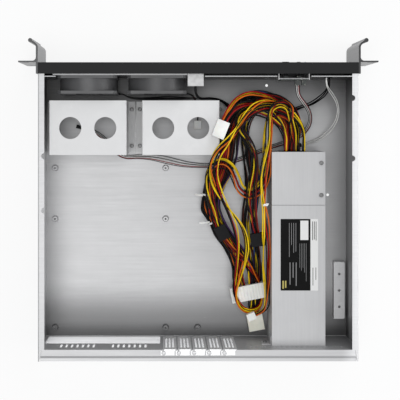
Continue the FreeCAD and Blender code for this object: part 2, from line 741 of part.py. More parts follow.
def make_front_panel():
    """Black front: face, top rim and inner side returns, with vents, ports and controls."""
    body = new_body("panel")
    y, t = "d.panel_setback", "d.panel_sheet"
    high = "d.panel_height"
    side = new_sketch(body, "panel_section", "YZ_Plane", f"-{HALF_BODY}")
    outline(side, [
        (y, "0"), (f"{y} + {t}", "0"), (f"{y} + {t}", f"{high} - {t}"),
        (f"{y} + d.panel_rim", f"{high} - {t}"), (f"{y} + d.panel_rim", high), (y, high),
    ])
    pad(body, side, "panel_sheet_pad", BODY_WIDTH)
    wide = worked_out(HALF_BODY)
    high_mm = size("panel_height")
    front_mm = size("panel_setback")
    round_edges(body, "rim_bend", "d.bend_radius",
                lambda m, s: abs(s.x) > wide and m.z > high_mm - 0.1 and m.y < front_mm + 0.1)
    returns = new_sketch(body, "returns", "XY_Plane", "d.bend_radius + 0.1")
    for sign in ("", "-"):
        rectangle(returns, f"{sign}({HALF_INSIDE} - {t})", f"{y} + {t} / 2",
                  f"{sign}({HALF_INSIDE})", f"{y} + d.panel_return")
    pad(body, returns, "return_pads", f"{BODY_TOP} - d.case_sheet - d.bend_radius - 0.3")
    screws = new_sketch(body, "return_holes", "YZ_Plane", f"{HALF_INSIDE} + 1")
    for screw_y, screw_z in ear_screws():
        circle(screws, screw_y, screw_z, "d.screw_radius + 0.05")
    pocket(body, screws, "return_hole_cuts", f"{BODY_WIDTH} + 2")
    for number, centre in enumerate(fan_centres()):
        slot = new_sketch(body, f"intake_{number}", "XZ_Plane", f"-({y})")
        obround(slot, f"{centre} + 32", "d.fan_centre_z", "62", "3.4", upright=True)
        first = pocket(body, slot, f"intake_cut_{number}", t)
        row_of(body, first, slot, "H_Axis", f"intakes_{number}", "8", "9", True)
    holes = new_sketch(body, "control_openings", "XZ_Plane", f"-({y})")
    circle(holes, POWER_X, "d.control_z", "d.power_radius + d.button_gap")
    circle(holes, RESET_X, "d.control_z", "d.reset_radius + d.button_gap")
    for k in (0, 1):
        circle(holes, LED_X, f"d.control_z + ({k} - 0.5) * d.led_pitch", "d.led_radius + 0.1")
    rectangle(holes, f"{PORT_X} - d.port_width / 2 - 0.3", "d.port_bottom - 0.3",
              f"{PORT_X} + d.port_width / 2 + 0.3", "d.port_bottom + d.port_height + 0.3")
    pocket(body, holes, "control_cuts", t)
    return finish(body, "front_panel")


def make_ear_handle(label, mirrored):
    """Extruded ear: leg along the case, rack flange and outward hooked handle."""
    body = new_body(f"{label}_body")
    section = new_sketch(body, "ear_section", "XY_Plane")
    t, stem, bend = "d.ear_metal", "d.handle_stem", "d.handle_bend_radius"
    angle = math.radians(size("handle_bend_angle"))
    metal, bead = size("ear_metal"), size("handle_bead_radius")
    radius = size("handle_bend_radius")
    straight = "d.handle_tip_length - sqrt(d.handle_bead_radius ^ 2 - (d.ear_metal / 2) ^ 2)"
    reach = worked_out(straight)
    centre = V(metal + radius, -size("handle_stem"), 0)
    toward = V(-math.cos(angle), -math.sin(angle), 0)
    along = V(math.sin(angle), -math.cos(angle), 0)
    outer_end, inner_end = centre + toward * (radius + metal), centre + toward * radius
    tip_outer, tip_inner = outer_end + along * reach, inner_end + along * reach
    wide = "d.ear_flange"
    corners = [
        (t, f"-{stem}"), (t, "0"), (wide, "0"), (wide, "d.ear_plate"), (t, "d.ear_plate"),
        (t, "d.ear_leg"), ("0", "d.ear_leg"), ("0", f"-{stem}"),
    ]
    points = [V(worked_out(a), worked_out(b), 0) for a, b in corners]
    for start, end in zip(points, points[1:]):
        section.addGeometry(Part.LineSegment(start, end), False)
    last = len(points) - 1
    for i in range(last - 1):
        section.addConstraint(Sketcher.Constraint("Coincident", i, 2, i + 1, 1))
    for i, (a, b) in enumerate(corners):
        line, end = (i, 1) if i < last else (i - 1, 2)
        hold(section, "DistanceX", f"x{i}", a, -1, 1, line, end)
        hold(section, "DistanceY", f"y{i}", b, -1, 1, line, end)
    start_angle = math.pi
    outer = section.addGeometry(Part.ArcOfCircle(
        Part.Circle(centre, V(0, 0, 1), radius + metal), start_angle, start_angle + angle), False)
    to_tip = section.addGeometry(Part.LineSegment(outer_end, tip_outer), False)
    middle = (outer_end + inner_end) * 0.5 + along * size("handle_tip_length")
    facing = math.atan2((tip_outer - middle).y, (tip_outer - middle).x)
    sweep = 2 * (math.pi - math.asin(metal / 2 / bead))
    tip = section.addGeometry(Part.ArcOfCircle(
        Part.Circle(middle, V(0, 0, 1), bead), facing, facing + sweep), False)
    back = section.addGeometry(Part.LineSegment(tip_inner, inner_end), False)
    inner = section.addGeometry(Part.ArcOfCircle(
        Part.Circle(centre, V(0, 0, 1), radius), start_angle, start_angle + angle), False)
    add = section.addConstraint
    add(Sketcher.Constraint("Coincident", last - 1, 2, outer, 1))
    add(Sketcher.Constraint("Coincident", inner, 1, 0, 1))
    add(Sketcher.Constraint("Tangent", outer, 2, to_tip, 1))
    add(Sketcher.Constraint("Coincident", to_tip, 2, tip, 1))
    add(Sketcher.Constraint("Coincident", tip, 2, back, 1))
    add(Sketcher.Constraint("Parallel", to_tip, back))
    add(Sketcher.Constraint("Equal", to_tip, back))
    add(Sketcher.Constraint("Tangent", back, 2, inner, 2))
    hold(section, "DistanceX", "bend_x", f"{t} + {bend}", -1, 1, outer, 3)
    hold(section, "DistanceY", "bend_y", f"-{stem}", -1, 1, outer, 3)
    add(Sketcher.Constraint("Coincident", inner, 3, outer, 3))
    hold(section, "Radius", "bead_radius", "d.handle_bead_radius", tip)
    hold(section, "Distance", "tip_length", straight, to_tip)
    hold(section, "DistanceX", "bend_end_x",
         f"{t} + {bend} - ({t} + {bend}) * cos(d.handle_bend_angle * 1 deg)", -1, 1, outer, 2)
    doc.recompute()
    pad(body, section, "ear_bar", "d.panel_height")
    edge = size("ear_metal")
    round_edges(body, "root_fillet", "d.ear_root_radius",
                lambda m, s: abs(s.z) > 50 and abs(m.x - edge) < 0.01 and abs(m.y) < 0.01)
    slots = new_sketch(body, "rack_slots", "XZ_Plane")
    x = "d.ear_flange - d.rack_hole_edge"
    for side in ("-", "+"):
        obround(slots, x, f"(d.panel_height {side} d.rack_hole_pitch_z) / 2",
                "d.rack_slot_length", "d.rack_slot_width")
    pocket(body, slots, "rack_slot_cuts", "d.ear_plate + 1")
    screws = new_sketch(body, "leg_holes", "YZ_Plane", t)
    for y, z in ear_screws():
        circle(screws, y, z, "d.screw_radius + 0.05")
    pocket(body, screws, "leg_hole_cuts", t)
    if mirrored:
        turn = FreeCAD.Rotation(V(0, 1, 0), 180)
        return finish(body, label, f"-{HALF_BODY}", "0", "d.panel_height", turn)
    return finish(body, label, HALF_BODY)


# ---------------------------------------------------------------- fans
def make_fan_frame(label, fan, x, y, z):
    """Square fan frame: two flanges, round barrel, motor base on four arms. Air runs along Y."""
    half, depth, duct = f"d.{fan}_size / 2", f"d.{fan}_depth", f"d.{fan}_duct_radius"
    flange = f"{depth} * 0.16"
    base_y = f"{depth} - {depth} * 0.14"
    hub = f"d.{fan}_hub_radius"
    solid = join(f"{label}_solid", [
        block(f"{label}_front_flange", f"-{half}", half, "0", flange, f"-{half}", half),
        block(f"{label}_rear_flange", f"-{half}", half, f"{depth} - {flange}", depth, f"-{half}", half),
        rod(f"{label}_barrel", "0", "0", "0", f"{half} - 0.2", depth),
    ])
    rounded = doc.addObject("Part::MultiCommon", f"{label}_rounded")
    rounded.Shapes = [solid, rod(f"{label}_corner_round", "0", "-1", "0", f"{half} * 1.33", f"{depth} + 2")]
    pitch = f"{half} * 0.894"
    holes = [rod(f"{label}_duct", "0", "-1", "0", duct, f"{depth} + 2")]
    for number, (a, b) in enumerate(((-1, -1), (-1, 1), (1, -1), (1, 1))):
        holes.append(rod(f"{label}_hole{number}", f"{a} * {pitch}", "-1", f"{b} * {pitch}",
                         f"{half} * 0.055", f"{depth} + 2"))
    ring = cut(f"{label}_ring", rounded, holes)
    arm = f"{half} * 0.045"
    span = f"({duct} + 0.5)"
    motor = join(f"{label}_motor", [
        block(f"{label}_arm_x", f"-{span}", span, base_y, depth, f"-{arm}", arm),
        block(f"{label}_arm_z", f"-{arm}", arm, base_y, depth, f"-{span}", span),
        rod(f"{label}_base", "0", base_y, "0", hub, f"{depth} - ({base_y})"),
        rod(f"{label}_tube", "0", f"{depth} * 0.84", "0", f"{hub} * 0.3", f"{depth} * 0.1"),
    ])
    bore = rod(f"{label}_bore", "0", f"{depth} * 0.5", "0", f"{hub} * 0.09 + 0.05", f"{depth} * 0.45")
    whole = join(f"{label}_whole", [ring, cut(f"{label}_motor_bored", motor, [bore])])
    return finish(whole, label, x, y, z)


def blade_section(height, half_width, front, rear, thick):
    """A thin cambered section of a fan blade in a plane across its span, as a closed wire."""
    def at(share, offset):
        bow = math.sin(math.pi * share) * 0.10 * (rear - front)
        return V((2 * share - 1) * half_width, front + (rear - front) * share + bow + offset, height)
    low = [at(share, -thick / 2) for share in (0, 0.5, 1)]
    high = [at(share, thick / 2) for share in (1, 0.5, 0)]
    edges = [
        Part.Arc(*low).toShape(), Part.LineSegment(low[2], high[0]).toShape(),
        Part.Arc(*high).toShape(), Part.LineSegment(high[2], low[0]).toShape(),
    ]
    return Part.Wire(edges)


def make_fan_rotor(label, fan, blades, x, y, z):
    """Hub with its shaft and twisted blades, lofted from root to tip."""
    depth, hub = size(f"{fan}_depth"), size(f"{fan}_hub_radius")
    tip = size(f"{fan}_duct_radius") - size(f"{fan}_tip_gap")
    front, rear = depth * 0.06, depth * 0.80
    along = V(0, 1, 0)
    cup = Part.makeCylinder(hub, rear - front, V(0, front, 0), along)
    rim = [e for e in cup.Edges if isinstance(e.Curve, Part.Circle) and abs(e.CenterOfMass.y - front) < 0.01]
    cup = cup.makeFillet(depth * 0.06, rim)
    shaft = Part.makeCylinder(hub * 0.09, depth * 0.93 - rear + 1, V(0, rear - 1, 0), along)
    step = math.pi / blades
    thick = depth * 0.05
    middle = (hub + tip) / 2
    root_half = hub * math.sin(step * 0.80)
    sections = [
        blade_section(height, half, front + depth * ahead, rear - depth * behind, thick)
        for height, half, ahead, behind in (
            (hub * math.cos(step * 0.80) - 0.5, root_half, 0.09, 0.04),
            (middle, middle * math.sin(step * 0.74), 0.11, 0.08),
            (tip + 0.5, tip * math.sin(step * 0.64), 0.16, 0.12),
        )
    ]
    blade = Part.makeLoft(sections, True, False).common(Part.makeCylinder(tip, depth, V(), along))
    parts = [shaft]
    for k in range(blades):
        copy = blade.copy()
        copy.rotate(V(), along, 360 / blades * k)
        parts.append(copy)
    thing = doc.addObject("Part::Feature", label)
    thing.Shape = cup.multiFuse(parts)
    return finish(thing, label, x, y, z)


# ---------------------------------------------------------------- brackets on the floor
def make_drive_bracket(label, x):
    """Folded drive cradle with outward feet and two large holes in its top."""
    body = new_body(f"{label}_body")
    w, t, top = "d.bracket_width / 2", "d.bracket_sheet", "d.bracket_top"
    foot = f"{w} + d.bracket_foot"
    side = new_sketch(body, "cradle_section", "XZ_Plane", "-d.bracket_depth")
    outline(side, [
        (f"-({foot})", FLOOR), (f"-{w} + {t}", FLOOR), (f"-{w} + {t}", f"{top} - {t}"),
        (f"{w} - {t}", f"{top} - {t}"), (f"{w} - {t}", FLOOR), (foot, FLOOR), (foot, f"{FLOOR} + {t}"),
        (w, f"{FLOOR} + {t}"), (w, top), (f"-{w}", top), (f"-{w}", f"{FLOOR} + {t}"),
        (f"-({foot})", f"{FLOOR} + {t}"),
    ])
    pad(body, side, "cradle", "d.bracket_depth")
    wide, high = worked_out(w), size("bracket_top")
    round_edges(body, "top_bends", "d.bend_radius",
                lambda m, s: along_y(m, s) and abs(abs(m.x) - wide) < 0.01 and m.z > high - 0.01)
    holes = new_sketch(body, "top_holes", "XY_Plane", top)
    for side in ("-", ""):
        circle(holes, f"{side}d.bracket_hole_pitch / 2", "d.bracket_depth / 2 + 0.4", "d.bracket_hole_radius")
    pocket(body, holes, "top_hole_cuts", t)
    feet = new_sketch(body, "foot_holes", "XY_Plane", f"{FLOOR} + {t}")
    for a in "+-":
        for b in "+-":
            circle(feet, f"{a}1 * ({w} + d.bracket_foot / 2)",
                   f"(d.bracket_depth {b} d.bracket_screw_pitch) / 2", "d.screw_radius + 0.15")
    pocket(body, feet, "foot_hole_cuts", t)
    drive = new_sketch(body, "drive_holes", "YZ_Plane", w)
    for y in ("(d.bracket_depth - d.drive_hole_pitch) / 2", "(d.bracket_depth + d.drive_hole_pitch) / 2"):
        for z in ("16", "44"):
            circle(drive, y, z, "1.8")
    pocket(body, drive, "drive_hole_cuts", f"2 * ({w})")
    return finish(body, label, x, "d.bracket_front_y")


def make_side_rail():
    """Low channel spot-welded to the floor beside the right wall."""
    body = new_body("rail")
    half, t, top = "d.rail_width / 2", FLOOR, "d.rail_top"
    side = new_sketch(body, "rail_section", "XZ_Plane", "-d.rail_length")
    outline(side, [
        (f"-{half}", FLOOR), (half, FLOOR), (half, top), (f"-{half}", top),
        (f"-{half}", f"{top} - {t}"), (f"{half} - {t}", f"{top} - {t}"), (f"{half} - {t}", f"2 * {FLOOR}"),
        (f"-{half}", f"2 * {FLOOR}"),
    ])
    pad(body, side, "rail_sheet", "d.rail_length")
    long_mm, half_mm = size("rail_length"), worked_out(half)
    top_mm = size("rail_top")
    round_edges(body, "rail_corners", "2.5",
                lambda m, s: abs(s.z) > 0.5 and m.z > top_mm - 2 and abs(abs(m.x) - half_mm) < 0.01
                and (m.y < 0.01 or m.y > long_mm - 0.01))
    holes = new_sketch(body, "rail_holes", "XY_Plane", top)
    for _, y in rail_holes():
        circle(holes, "0", f"{y} - d.rail_front_y", "1.9")
    pocket(body, holes, "rail_top_holes", t)
    return finish(body, "side_rail_bracket", RAIL_X, "d.rail_front_y")


# ---------------------------------------------------------------- fasteners
def screw_shape(place, direction, length):
    """A pan head screw whose head sits on a face at the place; the shank points the other way."""
    head_radius, head = size("screw_head_radius"), size("screw_head")
    shank = Part.makeCylinder(size("screw_radius"), length, V(0, 0, -length), V(0, 0, 1))
    dome = Part.makeCylinder(head_radius, head)
    rim = [e for e in dome.Edges if isinstance(e.Curve, Part.Circle) and e.CenterOfMass.z > head - 0.01]
    dome = dome.makeFillet(head * 0.45, rim)
    arm, wide = head_radius * 0.62, head_radius * 0.2
    for x, y in ((arm, wide), (wide, arm)):
        dome = dome.cut(Part.makeBox(2 * x, 2 * y, head * 0.6, V(-x, -y, head * 0.55)))
    shape = dome.fuse(shank).removeSplitter()
    shape.Placement = FreeCAD.Placement(place, FreeCAD.Rotation(V(0, 0, 1), direction))
    return shape


def screws(places, direction, length="d.screw_length"):
    """Identical screws as separate solids; each place is three expressions."""
    long = worked_out(length)
    return [screw_shape(V(*(worked_out(e) for e in place)), V(*direction), long) for place in places]


def make_screws():
    """Short screws of the brackets, slot covers and supply, and the longer ones of the ear handles."""
    foot_top = f"{FLOOR} + d.bracket_sheet"
    short = screws([(x, y, foot_top) for x, y in bracket_feet()], (0, 0, 1))
    short += screws([(x, y, f"{BODY_TOP} + d.cover_sheet") for x, y in cover_screws()], (0, 0, 1))
    short += screws([(x, y, "d.psu_top") for x, y in bay_screws()], (0, 0, 1))
    behind = "d.rear_wall_y + d.rear_sheet"
    short += screws([(x, behind, z) for x, z in psu_rear_screws()], (0, 1, 0))
    short += screws([(ANGLE_SCREW[0], "d.rear_wall_y - 1", ANGLE_SCREW[1])], (0, -1, 0))
    finish_shape(Part.makeCompound(short), "pan_head_screws")
    side = f"{HALF_BODY} + d.ear_metal"
    long = screws([(side, y, z) for y, z in ear_screws()], (1, 0, 0), "d.ear_screw_length")
    long += screws([(f"-({side})", y, z) for y, z in ear_screws()], (-1, 0, 0), "d.ear_screw_length")
    finish_shape(Part.makeCompound(long), "ear_screws")


# ---------------------------------------------------------------- power supply
def make_psu_housing():
    """Closed supply housing, with pockets at the rear for its fan, inlet and switch."""
    shell = block("psu_block", PSU_RIGHT, PSU_LEFT, f"{PSU_SEAM_Y} + d.psu_seam", PSU_REAR_Y,
                  FLOOR, "d.psu_top")
    half_fan = "(d.psu_fan_size / 2 + 0.3)"
    pockets = [
        block("psu_fan_room", f"{PSU_FAN_X} - {half_fan}", f"{PSU_FAN_X} + {half_fan}",
              f"{PSU_REAR_Y} - d.psu_fan_depth - 6", f"{PSU_REAR_Y} + 1",
              f"d.psu_fan_z - {half_fan}", f"d.psu_fan_z + {half_fan}"),
        block("psu_inlet_room", f"{PSU_SOCKET_X} - d.inlet_width / 2 - 1.6",
              f"{PSU_SOCKET_X} + d.inlet_width / 2 + 1.6",
              f"{PSU_REAR_Y} - d.inlet_depth - 0.5", f"{PSU_REAR_Y} + 1",
              "d.inlet_z - d.inlet_height / 2 - 1.6", "d.inlet_z + d.inlet_height / 2 + 1.6"),
        block("psu_switch_room", f"{PSU_SOCKET_X} - d.rocker_width / 2 - 3",
              f"{PSU_SOCKET_X} + d.rocker_width / 2 + 3",
              f"{PSU_REAR_Y} - 16", f"{PSU_REAR_Y} + 1",
              "d.rocker_z - d.rocker_height / 2 - 3", "d.rocker_z + d.rocker_height / 2 + 3"),
    ]
    return finish(cut("psu_housing_cut", shell, pockets), "psu_housing")


def make_psu_bay():
    """Front bay of the supply: a folded hood over the wiring, with a cable window in its front."""
    t = "d.psu_sheet"
    outer = block("bay_outer", PSU_RIGHT, PSU_LEFT, "d.psu_bay_front_y", PSU_SEAM_Y, FLOOR, "d.psu_top")
    inner = block("bay_inner", f"{PSU_RIGHT} + {t}", f"{PSU_LEFT} - {t}", f"d.psu_bay_front_y + {t}",
                  f"{PSU_SEAM_Y} + 1", "0", f"d.psu_top - {t}")
    window = block("bay_window", f"{PSU_CENTRE_X} + 6 - d.psu_window_width / 2",
                   f"{PSU_CENTRE_X} + 6 + d.psu_window_width / 2", "d.psu_bay_front_y - 1",
                   f"d.psu_bay_front_y + {t} + 1", "d.psu_window_bottom", "d.psu_window_top")
    holes = [rod(f"bay_screw_hole{k}", x, y, f"d.psu_top - {t} - 1", "d.screw_radius + 0.05", f"{t} + 2", "z")
             for k, (x, y) in enumerate(bay_screws())]
    return finish(cut("psu_bay_cut", outer, [inner, window] + holes), "psu_wiring_bay")


def bay_screws():
    x = f"{PSU_RIGHT} + 5.5"
    return [(x, "d.psu_bay_front_y + 15"), (x, "d.psu_bay_front_y + d.psu_bay_length - 13.5")]


def psu_rear_screws():
    """Places of the screws that hold the supply to the rear wall, as x and z."""
    left, right, high = f"{PSU_LEFT} - 5.5", f"{PSU_RIGHT} + 5.5", "d.psu_top - 5.5"
    return [(left, high), (right, high), (left, "6.5")]


def make_grommets():
    """Black liners that the supply's wires and the front leads come out of."""
    x, half = worked_out(f"{PSU_CENTRE_X} + 6"), worked_out("d.psu_window_width / 2 - 0.1")
    low, high = size("psu_window_bottom") + 0.1, size("psu_window_top") - 0.1
    front = size("psu_bay_front_y") - 0.5
    plug = Part.makeBox(2 * half, 5.5, high - low, V(x - half, front, low))
    wide = size("lead_hole_width") / 2 - 0.1
    x, z, rise = worked_out(LEAD_HOLE_X), size("lead_hole_z"), size("lead_hole_length") / 2 - 0.1 - wide
    front, deep = size("front_wall_y") - 0.3, size("front_sheet") + 0.6
    liner = Part.makeBox(2 * wide, deep, 2 * rise, V(x - wide, front, z - rise))
    ends = [Part.makeCylinder(wide, deep, V(x, front, z + k * rise), V(0, 1, 0)) for k in (-1, 1)]
    liner = liner.multiFuse(ends).removeSplitter()
    return finish_shape(Part.makeCompound([plug, liner]), "wire_grommets")


def make_psu_rear_plate():
    """Rear face of the supply, with a ringed fan grille, inlet and switch openings."""
    body = new_body("psu_rear")
    t = "d.psu_sheet"
    face = new_sketch(body, "rear_face", "XZ_Plane", f"-d.rear_wall_y")
    rectangle(face, PSU_RIGHT, FLOOR, PSU_LEFT, "d.psu_top")
    rectangle(face, f"{PSU_SOCKET_X} - d.inlet_width / 2 - 1.5", "d.inlet_z - d.inlet_height / 2 - 1.5",
              f"{PSU_SOCKET_X} + d.inlet_width / 2 + 1.5", "d.inlet_z + d.inlet_height / 2 + 1.5")
    rectangle(face, f"{PSU_SOCKET_X} - d.rocker_width / 2 - 2", "d.rocker_z - d.rocker_height / 2 - 2",
              f"{PSU_SOCKET_X} + d.rocker_width / 2 + 2", "d.rocker_z + d.rocker_height / 2 + 2")
    circle(face, PSU_FAN_X, "d.psu_fan_z", "d.psu_fan_duct_radius")
    for x, z in psu_rear_screws():
        circle(face, x, z, "d.screw_radius + 0.05")
    pad(body, face, "rear_face_pad", t)
    wires = []
    for k in range(4):
        ring_radius = f"(d.psu_fan_duct_radius * (0.22 + 0.22 * {k}))"
        wires.append(cut(f"grille_ring{k}",
                         rod(f"grille_out{k}", PSU_FAN_X, f"{PSU_REAR_Y}", "d.psu_fan_z",
                             f"{ring_radius} + 0.6", t),
                         [rod(f"grille_in{k}", PSU_FAN_X, f"{PSU_REAR_Y} - 1", "d.psu_fan_z",
                              f"{ring_radius} - 0.6", f"{t} + 2")]))
    span = "d.psu_fan_duct_radius + 0.5"
    wires.append(block("grille_bar_x", f"{PSU_FAN_X} - {span}", f"{PSU_FAN_X} + {span}", PSU_REAR_Y,
                       "d.rear_wall_y", "d.psu_fan_z - 0.6", "d.psu_fan_z + 0.6"))
    wires.append(block("grille_bar_z", f"{PSU_FAN_X} - 0.6", f"{PSU_FAN_X} + 0.6", PSU_REAR_Y,
                       "d.rear_wall_y", f"d.psu_fan_z - {span}", f"d.psu_fan_z + {span}"))
    return finish(join("psu_rear_whole", [body] + wires), "psu_rear_plate")


def make_inlet():
    """Mains inlet: moulded housing with its cavity and three contact pins."""
    x, z, w, h = PSU_SOCKET_X, "d.inlet_z", "d.inlet_width", "d.inlet_height"
    back = f"{PSU_REAR_Y} - d.inlet_depth"
    face = "d.rear_wall_y + 1"
    shell = block("inlet_box", f"{x} - {w} / 2 - 1.4", f"{x} + {w} / 2 + 1.4", back, face,
                  f"{z} - {h} / 2 - 1.4", f"{z} + {h} / 2 + 1.4")
    cavity = block("inlet_cavity", f"{x} - {w} / 2", f"{x} + {w} / 2", f"{back} + 3", f"{face} + 1",
                   f"{z} - {h} / 2", f"{z} + {h} / 2")
    pins = [block(f"inlet_pin{k}", f"{x} + {dx} - 1", f"{x} + {dx} + 1", f"{back} + 2", f"{back} + 15",
                  f"{z} + {dz} - 2", f"{z} + {dz} + 2")
            for k, (dx, dz) in enumerate(((-7, -1), (0, 2), (7, -1)))]
    finish(join("inlet_whole", [cut("inlet_cut", shell, [cavity])] + pins), "mains_inlet")


def make_rocker():
    """Mains switch: bezel and a rocker that tips about its middle."""
    x, z, w, h = PSU_SOCKET_X, "d.rocker_z", "d.rocker_width", "d.rocker_height"
    bezel = block("bezel_block", f"{x} - {w} / 2 - 1.9", f"{x} + {w} / 2 + 1.9", f"{PSU_REAR_Y} - 13",
                  "d.rear_wall_y + 1", f"{z} - {h} / 2 - 1.9", f"{z} + {h} / 2 + 1.9")
    room = block("bezel_room", f"{x} - {w} / 2", f"{x} + {w} / 2", f"{PSU_REAR_Y} - 10", "d.rear_wall_y + 2",
                 f"{z} - {h} / 2", f"{z} + {h} / 2")
    pivot = rod("bezel_pivot", x, f"{PSU_REAR_Y} - 3", f"{z} - {h} / 2 - 1", "0.9", f"{h} + 2", "z")
    finish(cut("bezel_cut", bezel, [room, pivot]), "switch_bezel")
    half, tall = size("rocker_width") / 2 - 0.7, size("rocker_height") - 0.8
    face = [V(-half, 2.4, 0), V(0, 1.0, 0), V(half, 2.4, 0), V(half - 0.6, -2.2, 0), V(0, -3.4, 0),
            V(-half + 0.6, -2.2, 0), V(-half, 2.4, 0)]
    paddle = Part.Face(Part.makePolygon(face)).extrude(V(0, 0, tall))
    paddle.translate(V(0, 0, -tall / 2))
    axle = Part.makeCylinder(0.85, size("rocker_height") + 1.4, V(0, 0, -size("rocker_height") / 2 - 0.7))
    shape = paddle.fuse(axle).removeSplitter()
    shape.rotate(V(), V(0, 0, 1), -8)
    thing = doc.addObject("Part::Feature", "rocker")
    thing.Shape = shape
    finish(thing, "switch_rocker", x, f"{PSU_REAR_Y} - 3", z)


def make_psu_foot():
    """Small angle that ties the supply's side to the rear wall."""
    side = block("foot_side", PSU_LEFT, f"{PSU_LEFT} + 1", "d.rear_wall_y - 12", "d.rear_wall_y", "36", "56")
    back = block("foot_back", PSU_LEFT, f"{PSU_LEFT} + 13", "d.rear_wall_y - 1", "d.rear_wall_y", "36", "56")
    x, z = ANGLE_SCREW
    hole = rod("foot_hole", x, "d.rear_wall_y - 2", z, "d.screw_radius + 0.05", "3")
    return finish(cut("foot_cut", join("foot_whole", [side, back]), [hole]), "psu_angle_bracket")


# ---------------------------------------------------------------- ports and controls
def make_ports():
    """Stacked pair of serial bus ports in one metal can, and the hood that holds it."""
    half, low = "d.port_width / 2", "d.port_bottom"
    can = block("can", f"{PORT_X} - {half}", f"{PORT_X} + {half}", "d.panel_setback - 0.5",
                "d.panel_setback + d.port_length", low, f"{low} + d.port_height")
    mouths, tongues = [], []
    for k in (0, 1):
        z = f"{low} + 1 + {k} * 7.6"
        mouths.append(block(f"mouth{k}", f"{PORT_X} - {half} + 1", f"{PORT_X} + {half} - 1",
                            "d.panel_setback - 1", "d.panel_setback + 11", z, f"{z} + 5.4"))
        tongues.append(block(f"tongue{k}", f"{PORT_X} - {half} + 2", f"{PORT_X} + {half} - 2",
                             "d.panel_setback + 0.5", "d.panel_setback + 12", f"{z} + 3.2", f"{z} + 4.8"))
    finish(join("ports_whole", [cut("can_cut", can, mouths)] + tongues), "usb_ports")
    wide = "d.port_bracket_width / 2"
    outer = block("hood_outer", f"{PORT_X} - {wide}", f"{PORT_X} + {wide}", BODY_FRONT,
                  "d.port_bracket_rear_y", low, "d.port_bracket_top")
    inner = block("hood_inner", f"{PORT_X} - {wide} + 0.8", f"{PORT_X} + {wide} - 0.8", f"{BODY_FRONT} - 1",
                  "d.port_bracket_rear_y - 0.8", f"{low} - 1", "d.port_bracket_top - 0.8")
    shelf = block("hood_shelf", f"{PORT_X} - {wide} + 0.4", f"{PORT_X} + {wide} - 0.4", BODY_FRONT,
                  "d.port_bracket_rear_y - 0.4", f"{low} + d.port_height", f"{low} + d.port_height + 0.8")
    finish(join("hood_whole", [cut("hood_cut", outer, [inner]), shelf]), "port_hood")


def make_controls():
    """Control board on its bracket, two sprung buttons and two lamp lenses."""
    x, y, w = CONTROL_X, "d.control_board_y", "d.control_board_width"
    low = "d.control_board_bottom"
    high = f"({low} + d.control_board_height)"
    key_low, key_high = "d.control_z - 3", "d.control_z + 3"
    board = [
        block("board_sheet", f"{x} - {w} / 2 + 2.2", f"{x} + {w} / 2 - 2.2", y, f"{y} + 1.6", low, high),
        block("power_key", f"{POWER_X} - 3", f"{POWER_X} + 3", f"{y} - 4", y, key_low, key_high),
        block("reset_key", f"{RESET_X} - 3", f"{RESET_X} + 3", f"{y} - 4", y, key_low, key_high),
        block("header_a", f"{x} - 8", f"{x} - 2", f"{y} + 1.6", f"{y} + 8", "73", "79"),
        block("header_b", f"{x} - 17", f"{x} - 11", f"{y} + 1.6", f"{y} + 8", "73", "79"),
    ]
    finish(join("board_whole", board), "control_board")
    left, right = f"{x} + {w} / 2", f"{x} - {w} / 2"
    legs = [
        block("leg_left", f"{left} - 1.2", left, BODY_FRONT, f"{y} + 1", low, high),
        block("leg_right", right, f"{right} + 1.2", BODY_FRONT, f"{y} + 1", low, high),
        block("bar_top", right, left, f"{y} - 0.9", f"{y} - 0.1", f"{high} - 4", high),
        block("tab_left", f"{left} - 4", left, f"{y} - 0.9", f"{y} - 0.1", low, high),
        block("tab_right", right, f"{right} + 4", f"{y} - 0.9", f"{y} - 0.1", low, high),
    ]
    finish(join("control_bracket_whole", legs), "control_bracket")
    for label, bx, radius in (("power_button", POWER_X, "d.power_radius"),
                              ("reset_button", RESET_X, "d.reset_radius")):
        stem_end = f"{y} - 4 - d.button_proud - 0.1"
        parts = [
            rod(f"{label}_cap", bx, "d.panel_setback - d.button_proud", "d.control_z", radius,
                f"{BODY_FRONT} - d.panel_setback + d.button_proud + d.button_gap"),
            rod(f"{label}_collar", bx, f"{BODY_FRONT} + d.button_gap", "d.control_z", f"{radius} + 1", "1.2"),
            rod(f"{label}_stem", bx, f"{BODY_FRONT} + d.button_gap", "d.control_z", f"{radius} * 0.5",
                f"{stem_end} - {BODY_FRONT} - d.button_gap"),
        ]
        finish(join(f"{label}_whole", parts), label)
    lenses = []
    for k in (0, 1):
        z = worked_out(f"d.control_z + ({k} - 0.5) * d.led_pitch")
        place = V(worked_out(LED_X), worked_out(f"{BODY_FRONT}"), z)
        back = Part.makeCylinder(size("led_radius") + 0.8, 1.5, place, V(0, 1, 0))
        front = Part.makeCylinder(size("led_radius"), size("panel_sheet"), place, V(0, -1, 0))
        tip = V(place.x, size("panel_setback"), z)
        dome = Part.makeSphere(size("led_radius"), tip, V(0, -1, 0), 0, 90, 360)
        lenses.append(back.multiFuse([front, dome]).removeSplitter())
    finish_shape(Part.makeCompound(lenses), "led_lenses")


# ---------------------------------------------------------------- connectors and cords
def connector_shape(length, width, height, cells_across, cells_high, latch=False):
    """A moulded connector: wires enter at its rear face, x = 0, and the mating face is at x = length."""
    shell = Part.makeBox(length, width, height, V(0, -width / 2, -height / 2))
    across, up = width / cells_across, height / cells_high
    cells = []
    for i in range(cells_across):
        for k in range(cells_high):
            y, z = (i + 0.5) * across - width / 2, (k + 0.5) * up - height / 2
            low = V(length - 2.5, y - across * 0.35, z - up * 0.35)
            cells.append(Part.makeBox(3, across * 0.7, up * 0.7, low))
    shell = shell.cut(Part.makeCompound(cells))
    if latch:
        arm = Part.makeBox(length * 0.7, 4, 1.6, V(length * 0.15, -2, height / 2 + 0.9))
        root = Part.makeBox(3, 4, 1.2, V(length * 0.45, -2, height / 2 - 0.1))
        shell = shell.fuse([arm, root]).removeSplitter()
    return shell


